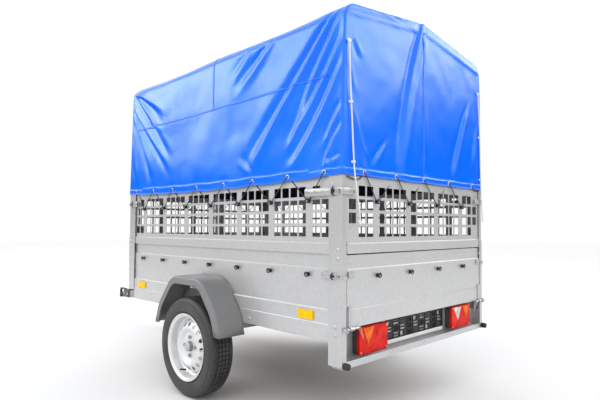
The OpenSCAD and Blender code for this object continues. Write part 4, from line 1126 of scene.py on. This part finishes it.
# number plate holder, reflectors and stops
def makePlateHolder():
    low, high = boxFromRear("number_plate_holder")
    shape = bmesh.new()
    block = lambda y0, z0, y1, z1, front=0.0, back=0.0, p=0: addBlock(
        shape, at(low.x + front, y0, z0), at(high.x - back, y1, z1), 0.0008, paintAs=p)
    strip = low.z + 0.020
    block(low.y, strip, high.y, strip + 0.006)  # border
    block(low.y, high.z - 0.006, high.y, high.z)
    block(low.y, strip, low.y + 0.007, high.z)
    block(high.y - 0.007, strip, high.y, high.z)
    block(low.y, low.z, high.y, strip, 0.001, 0.0, 1)  # retaining strip
    block(low.y + 0.002, low.z + 0.0035, high.y - 0.002, low.z + 0.0060, 0.0, 0.004, 1)
    block(low.y + 0.002, strip - 0.0060, high.y - 0.002, strip - 0.0035, 0.0, 0.004, 1)
    columns, rows = 9, 3
    wide, tall = (high.y - low.y) / columns, (high.z - strip) / rows
    for i in range(1, columns):
        y = low.y + i * wide
        block(y - 0.004, strip, y + 0.004, high.z, 0.0025)
    for j in range(1, rows):
        z = strip + j * tall
        block(low.y, z - 0.0035, high.y, z + 0.0035, 0.0025)
    for i in range(columns):
        for j in range(rows):
            y, z = low.y + (i + 0.5) * wide, strip + (j + 0.5) * tall
            kind = (i * 5 + j * 3 + i * j) % 4
            if kind == 0:  # closed cell
                block(y - wide / 2, z - tall / 2, y + wide / 2, z + tall / 2, 0.004)
            elif kind == 1:  # slats
                for k in (-0.22, 0.0, 0.22):
                    block(y + k * wide - 0.0022, z - tall / 2, y + k * wide + 0.0022, z + tall / 2, 0.003)
            elif kind == 2:  # half-closed cell
                block(y - wide / 2, z - tall / 2, y - wide * 0.08, z + tall / 2, 0.004)
            else:
                block(y - wide * 0.5, z - tall * 0.1, y + wide * 0.5, z + tall * 0.14, 0.003)
    for y in (-0.18, 0.0, 0.18):
        screw = low.z + 0.010
        addRod(shape, at(low.x + 0.0012, y, screw), at(low.x - 0.0006, y, screw), 0.0035, sides=14, paintAs=1)
    holder = keepPiece("plateHolder", shape, [blackPlastic, clipWhite])
    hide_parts("number_plate_holder")


reflectorSpec = {"places": (0.222, boxLength - 0.203), "half": 0.048, "low": 0.5085, "high": 0.5495, "edge": 0.0016}


def makeReflectors():
    half, low, high = reflectorSpec["half"], reflectorSpec["low"], reflectorSpec["high"]
    shape = bmesh.new()
    for sign in (1, -1):
        for x in reflectorSpec["places"]:
            y0, y1 = halfWidth - 0.0045, halfWidth + 0.0042
            lens = addBlock(shape, at(x - half, sign * y0, low), at(x + half, sign * y1, high), paintAs=1)
            for vert in lens:
                if abs(vert.co.y) > y1 - 1e-4:
                    vert.co.z += 0.0008 if vert.co.z < 0.53 else -0.0008
            bevelled(shape, {e for v in lens for e in v.link_edges}, reflectorSpec["edge"], 3)
            for z in (0.5105, 0.5470):
                a, b = at(x - 0.046, sign * y0, z - 0.0012), at(x + 0.046, sign * (y1 + 0.0006), z + 0.0012)
                addBlock(shape, a, b, 0.0004, paintAs=1)
    bmesh.ops.recalc_face_normals(shape, faces=shape.faces)
    lenses = keepPiece("sideReflexes", shape, [lampHousing, reflexAmber])
    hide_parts("side_reflectors")


def makeStops():
    low, high = boxFromRear("rubber_stops")
    radius = (high.z - low.z) / 2
    shape = bmesh.new()
    for sign in (1, -1):
        y, z = sign * (high.y - radius), (high.z + low.z) / 2
        addRod(shape, at(high.x, y, z), at(low.x, y, z), radius, sides=40, soften=0.003, endRadius=radius * 0.94)
        addRing(shape, at(low.x + 0.0014, y, z), (1, 0, 0), radius * 0.62, 0.0013, turns=32, sides=8)
        addRing(shape, at(high.x - 0.005, y, z), (1, 0, 0), radius - 0.0014, 0.0013, turns=32, sides=8)
    stops = keepPiece("beamStops", shape, [blackRubber])
    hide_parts("rubber_stops")


makePlateHolder()
makeReflectors()
makeStops()
print("rear lights and plate holder fitted")


axleX, axleZ = 1.005, 0.27  # from the box's rear face and from the ground

# mudguards
guardSpec = {"axle": axleX, "half": 0.332, "knee": (0.291, 0.120), "shoulder": 0.147, "wall": 0.0032, "soft": 0.016,
             "kneeRound": 0.040, "shoulderRound": 0.052, "flange": 0.016}


def makeGuard(side, sign):
    spec = guardSpec
    low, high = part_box("mudguard_" + side)
    foot, top = low.z, high.z
    inner, outer = halfWidth + 0.0005, halfWidth + 0.161
    shape = bmesh.new()
    below = -0.09
    outline = [(spec["half"] + 0.0308, below), (spec["knee"][0], spec["knee"][1]), (spec["shoulder"], top - foot),
               (-spec["shoulder"], top - foot), (-spec["knee"][0], spec["knee"][1]), (-spec["half"] - 0.0308, below)]
    shape.faces.new([shape.verts.new(at(spec["axle"] + u, inner, foot + v)) for u, v in outline])
    shape.verts.ensure_lookup_table()
    knees = [shape.verts[1], shape.verts[4]]
    shoulders = [shape.verts[2], shape.verts[3]]
    bevelled(shape, knees, spec["kneeRound"], 8, "VERTICES")
    shoulders = [v for v in shoulders if v.is_valid]
    bevelled(shape, shoulders, spec["shoulderRound"], 12, "VERTICES")
    face = max(shape.faces, key=lambda f: f.calc_area())
    grown = bmesh.ops.extrude_face_region(shape, geom=[face])["geom"]
    for vert in [g for g in grown if isinstance(g, bmesh.types.BMVert)]:
        vert.co.y = outer
    bmesh.ops.recalc_face_normals(shape, faces=shape.faces)
    isOuter = lambda f: f.normal.y > 0.95
    isInner = lambda f: f.normal.y < -0.95
    rim = {e for f in shape.faces if isOuter(f) for e in f.edges}
    bevelled(shape, rim, spec["soft"], 5)
    for depth, lift in ((0.004, -0.0022), (0.014, 0.0), (0.005, 0.0028), (0.003, 0.0), (0.0022, -0.009)):
        lip = [f for f in shape.faces if isOuter(f) and len(f.verts) > 12]
        bmesh.ops.inset_region(shape, faces=lip, thickness=depth, depth=0, use_even_offset=True, use_boundary=True)
        lip = [f for f in shape.faces if isOuter(f) and len(f.verts) > 12]
        for vert in {v for f in lip for v in f.verts}:
            vert.co.y += lift
        shape.normal_update()
    lip = [f for f in shape.faces if isOuter(f) and len(f.verts) > 12]
    bmesh.ops.delete(shape, geom=lip, context="FACES_ONLY")
    wall = [f for f in shape.faces if isInner(f) and len(f.verts) > 12]
    bmesh.ops.inset_region(shape, faces=wall, thickness=spec["flange"], depth=0, use_even_offset=True, use_boundary=True)
    wall = [f for f in shape.faces if isInner(f) and len(f.verts) > 12]
    bmesh.ops.delete(shape, geom=wall, context="FACES_ONLY")
    bmesh.ops.bisect_plane(shape, geom=wholeOf(shape), plane_co=(0, 0, foot), plane_no=(0, 0, 1), clear_inner=True)
    bmesh.ops.delete(shape, geom=[v for v in shape.verts if not v.link_faces], context="VERTS")
    for height in (0.05, 0.12):  # cut across so that the bend shades smoothly
        bmesh.ops.bisect_plane(shape, geom=wholeOf(shape), plane_co=(0, 0, foot + height), plane_no=(0, 0, 1))
    if sign < 0:
        bmesh.ops.transform(shape, matrix=Matrix.Diagonal((1, -1, 1, 1)), verts=shape.verts)
        bmesh.ops.reverse_faces(shape, faces=shape.faces)
    guard = keepPiece("guard" + side.capitalize(), shape, [guardPlastic], angle=50)
    thicken(guard, spec["wall"]).use_even_offset = True
    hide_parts("mudguard_" + side)


makeGuard("left", 1)
makeGuard("right", -1)
print("mudguards moulded")


# tyres
tyreSpec = {
    "steps": 144,
    "treadFrom": 0.2585,  # radius where the cuts may start
    "grooveFloor": 0.2645,
    "cutWide": 0.0027,
    "cutDeep": 0.0060,
    # radius and distance from the middle of the tread, one half
    "section": [(0.2700, 0.0000), (0.2700, 0.0065), (0.2640, 0.0078), (0.2640, 0.0122), (0.2699, 0.0136),
                (0.2697, 0.0300), (0.2636, 0.0314), (0.2636, 0.0356), (0.2688, 0.0370), (0.2672, 0.0510),
                (0.2655, 0.0560), (0.2618, 0.0615), (0.2560, 0.0655), (0.2500, 0.0680), (0.2440, 0.0700),
                (0.2428, 0.0724), (0.2392, 0.0730), (0.2300, 0.0736), (0.2200, 0.0740), (0.2130, 0.0736),
                (0.2118, 0.0726), (0.2090, 0.0724), (0.2030, 0.0718), (0.1960, 0.0696), (0.1900, 0.0662),
                (0.1870, 0.0640), (0.1850, 0.0590), (0.1830, 0.0556), (0.1690, 0.0530)],
}


def makeTyre(side, sign):
    low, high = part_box("tyre_" + side)
    middle = (low.y + high.y) / 2
    shape = bmesh.new()
    half = tyreSpec["section"]
    ring = [(r, w) for r, w in reversed(half)] + [(r, -w) for r, w in half[1:]]
    verts = [shape.verts.new(at(axleX, middle + w, axleZ + r)) for r, w in ring]
    edges = [shape.edges.new((a, b)) for a, b in zip(verts, verts[1:])]
    edges.append(shape.edges.new((verts[-1], verts[0])))
    centre = at(axleX, middle, axleZ)
    bmesh.ops.spin(
        shape, geom=verts + edges, cent=centre, axis=(0, 1, 0), angle=2 * pi, steps=tyreSpec["steps"], use_merge=True
    )
    bmesh.ops.remove_doubles(shape, verts=shape.verts, dist=1e-6)
    bmesh.ops.recalc_face_normals(shape, faces=shape.faces)
    step = 2 * pi / tyreSpec["steps"]

    def turn(vert):
        return round(atan2(vert.co.z - centre.z, vert.co.x - centre.x) / step)

    def reach(vert):
        return sqrt((vert.co.x - centre.x) ** 2 + (vert.co.z - centre.z) ** 2)

    cuts = []
    for edge in shape.edges:
        a, b = edge.verts
        if turn(a) == turn(b) and min(reach(a), reach(b)) > tyreSpec["treadFrom"] and abs(a.co.y - b.co.y) > 0.003:
            rib = abs((a.co.y + b.co.y) / 2 - middle)
            if min(reach(a), reach(b)) < tyreSpec["grooveFloor"] and rib < 0.04:
                continue  # the floor of a groove stays whole
            if rib > 0.034 or turn(a) % 2:
                cuts.append(edge)
    marked = {(turn(v), round(v.co.y, 5)) for e in cuts for v in e.verts}
    bevelled(shape, cuts, tyreSpec["cutWide"], 2)
    for vert in shape.verts:
        if reach(vert) > tyreSpec["treadFrom"] and (turn(vert), round(vert.co.y, 5)) in marked:
            angle = atan2(vert.co.z - centre.z, vert.co.x - centre.x) / step
            if abs(angle - round(angle)) < 0.02:
                inward = centre - vert.co
                inward.y = 0
                vert.co += inward.normalized() * tyreSpec["cutDeep"]
    tyre = keepPiece("tyreTread" + side.capitalize(), shape, [tyreRubber], body="wheel_" + side, angle=32)
    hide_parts("tyre_" + side)
    valve = bmesh.new()
    spot = lambda r, w: at(axleX + r * 0.342, middle + sign * w, axleZ - r * 0.94)
    addRod(valve, spot(0.148, 0.030), spot(0.140, 0.058), 0.0052, sides=16, endRadius=0.0040)
    addRod(valve, spot(0.140, 0.056), spot(0.1385, 0.068), 0.0046, sides=16, soften=0.0008)
    keepPiece("valve" + side.capitalize(), valve, [blackRubber], body="wheel_" + side)


makeTyre("left", 1)
makeTyre("right", -1)
print("tyres moulded")


# hinges
hingeSpec = {
    "pin": (-0.0105, 0.486),
    "wire": 0.0013,
    # the cotter's two legs: steps forwards, inwards and up from the pin's inner end
    "legs": [[(0, 0, 0.0065), (-0.006, 0.002, 0.004), (-0.007, 0.006, -0.008), (-0.004, 0.022, -0.040),
              (-0.003, 0.026, -0.052)],
             [(0, 0, -0.0065), (0.006, 0.002, -0.004), (0.002, 0.012, -0.020), (-0.002, 0.026, -0.050)]],
    # from y, to y, radius, sides, softening
    "heads": [(0.6435, 0.6475, 0.0085, 24, 0.0012), (0.5470, 0.5440, 0.0042, 18, 0.0010)],
}


def makeHingeDetails():
    pinX, pinZ = hingeSpec["pin"]
    wires, shape = [], bmesh.new()
    for sign in (1, -1):
        base = at(pinX, sign * 0.548, pinZ)
        for leg in hingeSpec["legs"]:
            wires.append(smoothRun([base + Vector((x, -sign * y, z)) for x, y, z in leg], 5))
        for start, end, radius, sides, soften in hingeSpec["heads"]:
            addRod(shape, at(pinX, sign * start, pinZ), at(pinX, sign * end, pinZ), radius, sides=sides, soften=soften)
    addWire("hingeCotters", wires, hingeSpec["wire"], zincBright)
    keepPiece("hingePinHeads", shape, [zincBright])


makeHingeDetails()

# drawbar, coupling and jockey wheel fittings
towSpec = {
    "ball": 3.548,
    "drawbar": 0.262,
    "jockey": (2.700, -0.165),
    "clamp": 0.399,  # height of the clamp screw
    "sleeve": 0.038,
    "couplingBolts": (3.375, 3.437),
    "saddleBolts": (1.483, 1.503, 1.943, 1.963),
    "clampBolts": (2.678, 2.722),
    "gripRings": (0.814, 0.822, 0.830, 0.838),
}


# a hexagon head on its washer
def addHex(shape, base, out, size=0.0095):
    base, out = Vector(base), Vector(out)
    addRod(shape, base, base + out * 0.0018, size * 1.3, sides=24, soften=0.0004)
    addRod(shape, base + out * 0.0016, base + out * (0.0016 + size * 0.62), size, sides=6, soften=0.0007)
    addRod(shape, base + out * size * 0.7, base + out * (size * 0.7 + 0.0038), size * 0.5, sides=14, soften=0.0006)


def makeTowFittings():
    spec = towSpec
    bolts, soft = bmesh.new(), bmesh.new()
    for sign in (1, -1):
        for x in spec["couplingBolts"]:
            addHex(bolts, at(x, sign * spec["sleeve"], spec["drawbar"]), (0, sign, 0), 0.0098)
        for x in spec["saddleBolts"]:
            addHex(bolts, at(x, sign * 0.036, spec["drawbar"] + 0.008), (0, sign, 0), 0.0085)
        addRod(bolts, at(3.492, sign * 0.0235, 0.276), at(3.492, sign * 0.0275, 0.276), 0.0068, sides=20, soften=0.0009)
    for x in spec["clampBolts"]:
        addHex(bolts, at(x, -0.012, spec["drawbar"] + 0.036), (0, 0, 1), 0.0078)
    (jx, jy), clamp = spec["jockey"], spec["clamp"]
    # clamp screw with its turned-over handle
    addRod(bolts, at(jx + 0.031, jy + 0.020, clamp), at(jx + 0.064, jy + 0.020, clamp), 0.0060, sides=18)
    addRod(bolts, at(jx + 0.056, jy - 0.028, clamp), at(jx + 0.056, jy + 0.068, clamp), 0.0048, sides=16, soften=0.0012)
    for y in (jy - 0.028, jy + 0.068):
        addRod(soft, at(jx + 0.056, y - 0.006, clamp), at(jx + 0.056, y + 0.006, clamp), 0.0078, sides=20, soften=0.002)
    # end cap, bands and crank pivot of the tube
    addRing(bolts, at(jx, jy, 0.354), (0, 0, 1), 0.0235, 0.0018, turns=36)
    addRing(bolts, at(jx, jy, 0.776), (0, 0, 1), 0.0236, 0.0020, turns=36)
    # grip on the crank
    grip = jx - 0.090
    addRod(soft, at(grip, jy, 0.806), at(grip, jy, 0.8530), 0.0115, sides=28, soften=0.0035, endRadius=0.0100)
    for z in spec["gripRings"]:
        addRing(soft, at(grip, jy, z), (0, 0, 1), 0.0104, 0.0016, turns=28)
    addRing(soft, at(spec["ball"], 0, 0.2175), (0, 0, 1), 0.0352, 0.0022, turns=44)
    keepPiece("towBolts", bolts, [zincBright])
    keepPiece("towRubber", soft, [blackRubber])
    handle = bmesh.new()
    addBlock(handle, at(3.548, -0.0132, 0.2905), at(3.602, 0.0132, 0.3018), soften=0.0046, steps=4)
    addRod(handle, at(3.5515, -0.0128, 0.2960), at(3.5515, 0.0128, 0.2960), 0.0052, sides=20, soften=0.001)
    keepPiece("handleGrip", handle, [blackRubber])


makeTowFittings()


# cast disc and axle nuts of the jockey wheel
def makeCasterDetails():
    low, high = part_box("jockey_wheel")
    middle = (low + high) / 2
    wheel, fork = bmesh.new(), bmesh.new()
    for sign in (1, -1):
        out = Vector((0, sign, 0))
        hub = middle + out * 0.0125
        addRing(wheel, hub, out, 0.058, 0.0024, turns=44)
        addRing(wheel, hub, out, 0.031, 0.0022, turns=36)
        for i in range(8):
            angle = 2 * pi * i / 8
            ray = Vector((cos(angle), 0, sin(angle)))
            addRod(wheel, hub + ray * 0.030, hub + ray * 0.059, 0.0030, sides=8)
        face = middle + out * 0.0432
        addRod(fork, face, face + out * 0.0030, 0.0098, sides=6, soften=0.0008)
    keepPiece("casterDisc", wheel, [rimSilver], body="jockey_roller")
    keepPiece("casterNuts", fork, [zincBright], body="jockey_caster")


makeCasterDetails()


# grease cap
def makeWheelDetails(side, sign):
    rimLow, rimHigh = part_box("rim_" + side)
    centre = (rimLow + rimHigh) / 2
    hubLow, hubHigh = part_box("hub_" + side)
    cap = hubHigh.y if sign > 0 else hubLow.y
    shape = bmesh.new()
    base = Vector((centre.x, cap, centre.z))
    out = Vector((0, sign, 0))
    addDome(shape, base, out, (0.0235, 0.0055))
    addRing(shape, base - out * 0.0025, out, 0.0242, 0.0014, turns=36)
    keepPiece("greaseCap" + side.capitalize(), shape, [zincBright], body="wheel_" + side)


# hem along the foot of the rear mesh gate, 6 mm clear of the tailgate
def makeGateHem():
    shape = bmesh.new()
    addBlock(shape, at(0.0022, -0.612, 0.8100), at(0.0130, 0.612, 0.8168), soften=0.0012, steps=3)
    keepPiece("gateHem", shape, [zincSheet])


makeGateHem()
makeWheelDetails("left", 1)
makeWheelDetails("right", -1)
print("fittings made")

# finishes of the metal, rubber and board pieces
finishes = {
    zincSheet: ["side_panel_left", "side_panel_right", "front_panel", "mesh_side_left", "mesh_side_right", "mesh_front",
                "mesh_gate", "tailgate"],
    zincPost: ["lower_posts", "upper_posts", "lamp_board"],
    zincFrame: ["side_rails", "cross_members", "axle_beam", "swing_arms", "drawbar", "drawbar_brackets", "hub_left",
                "hub_right", "jockey_clamp", "jockey_crank", "cover_uprights", "cover_rails", "cover_roof_bars"],
    zincBright: ["side_latches", "hinge_brackets", "tailgate_fittings", "jockey_outer_tube", "jockey_inner_tube",
                 "jockey_fork"],
    rimSilver: ["rim_left", "rim_right"],
    tyreRubber: ["tyre_left", "tyre_right"],
    blackRubber: ["rubber_stops", "jockey_wheel"],
    blackPlastic: ["number_plate_holder"],
    guardPlastic: ["mudguard_left", "mudguard_right"],
    blackPaint: ["coupling_body", "coupling_handle"],
    floorFilm: ["floor_board"],
}
for material, names in finishes.items():
    for name in names:
        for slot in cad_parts[name].material_slots:
            slot.material = material
print("frame finished")


# stage and lights
def makeStage():
    shape = bmesh.new()
    bmesh.ops.create_grid(shape, x_segments=8, y_segments=8, size=30)
    mesh = bpy.data.meshes.new("floor")
    shape.to_mesh(mesh)
    shape.free()
    floor = bpy.data.objects.new("floor", mesh)
    scene.collection.objects.link(floor)
    mesh.materials.append(newMaterial("paleFloor", Base_Color=(0.8, 0.8, 0.8, 1), Roughness=0.9)[0])


lightSpec = {
    "dim": 0.04,  # round the horizon
    "bright": 1.25,  # overhead
    # name, place, aim, width, height, power
    "lamps": [
        ("sideBox", (5.6, 4.9, 4.95), (5.6, 0.0, 4.5), 8.0, 2.8, 290),
        ("rearBox", (-6.0, -6.0, 5.2), (-1.8, 0.0, 1.6), 6.0, 2.4, 155),
        ("above", (-3.5, 4.5, 6.0), (0.0, 0.0, 0.8), 4.0, 4.0, 40),
    ],
}


def makeLights(spec):
    world = bpy.data.worlds.new("studio")
    world.use_nodes = True
    scene.world = world
    tree = world.node_tree
    background = tree.nodes["Background"]
    background.inputs["Color"].default_value = (1, 1, 1, 1)
    aim = addNode(tree, "SeparateXYZ", {"Vector": addNode(tree, "TexCoord").outputs["Generated"]}).outputs
    edge = sums(tree, "MULTIPLY", rampBetween(tree, aim["Y"], 0.4, -0.6), 0.06)
    edge = sums(tree, "SUBTRACT", edge, sums(tree, "MULTIPLY", rampBetween(tree, aim["X"], -0.55, -0.85), 0.16))
    edge = sums(tree, "SUBTRACT", edge, sums(tree, "MULTIPLY", rampBetween(tree, aim["Y"], 0.72, 0.92), 0.14))
    sky = rampBetween(tree, sums(tree, "SUBTRACT", aim["Z"], edge), 0.12, 0.24)
    level = sums(tree, "ADD", sums(tree, "MULTIPLY", sky, spec["bright"] - spec["dim"]), spec["dim"])
    seen = addNode(tree, "LightPath").outputs["Is Camera Ray"]
    tree.links.new(sums(tree, "MAXIMUM", seen, level), background.inputs["Strength"])
    for name, place, target, width, height, power in spec["lamps"]:
        light = bpy.data.lights.new(name, "AREA")
        light.shape = "RECTANGLE"
        light.size = width
        light.size_y = height
        light.energy = power
        lamp = bpy.data.objects.new(name, light)
        scene.collection.objects.link(lamp)
        lamp.location = place
        lamp.rotation_euler = (Vector(target) - Vector(place)).to_track_quat("-Z", "Y").to_euler()
    scene.view_settings.view_transform = "Standard"


makeStage()
makeLights(lightSpec)
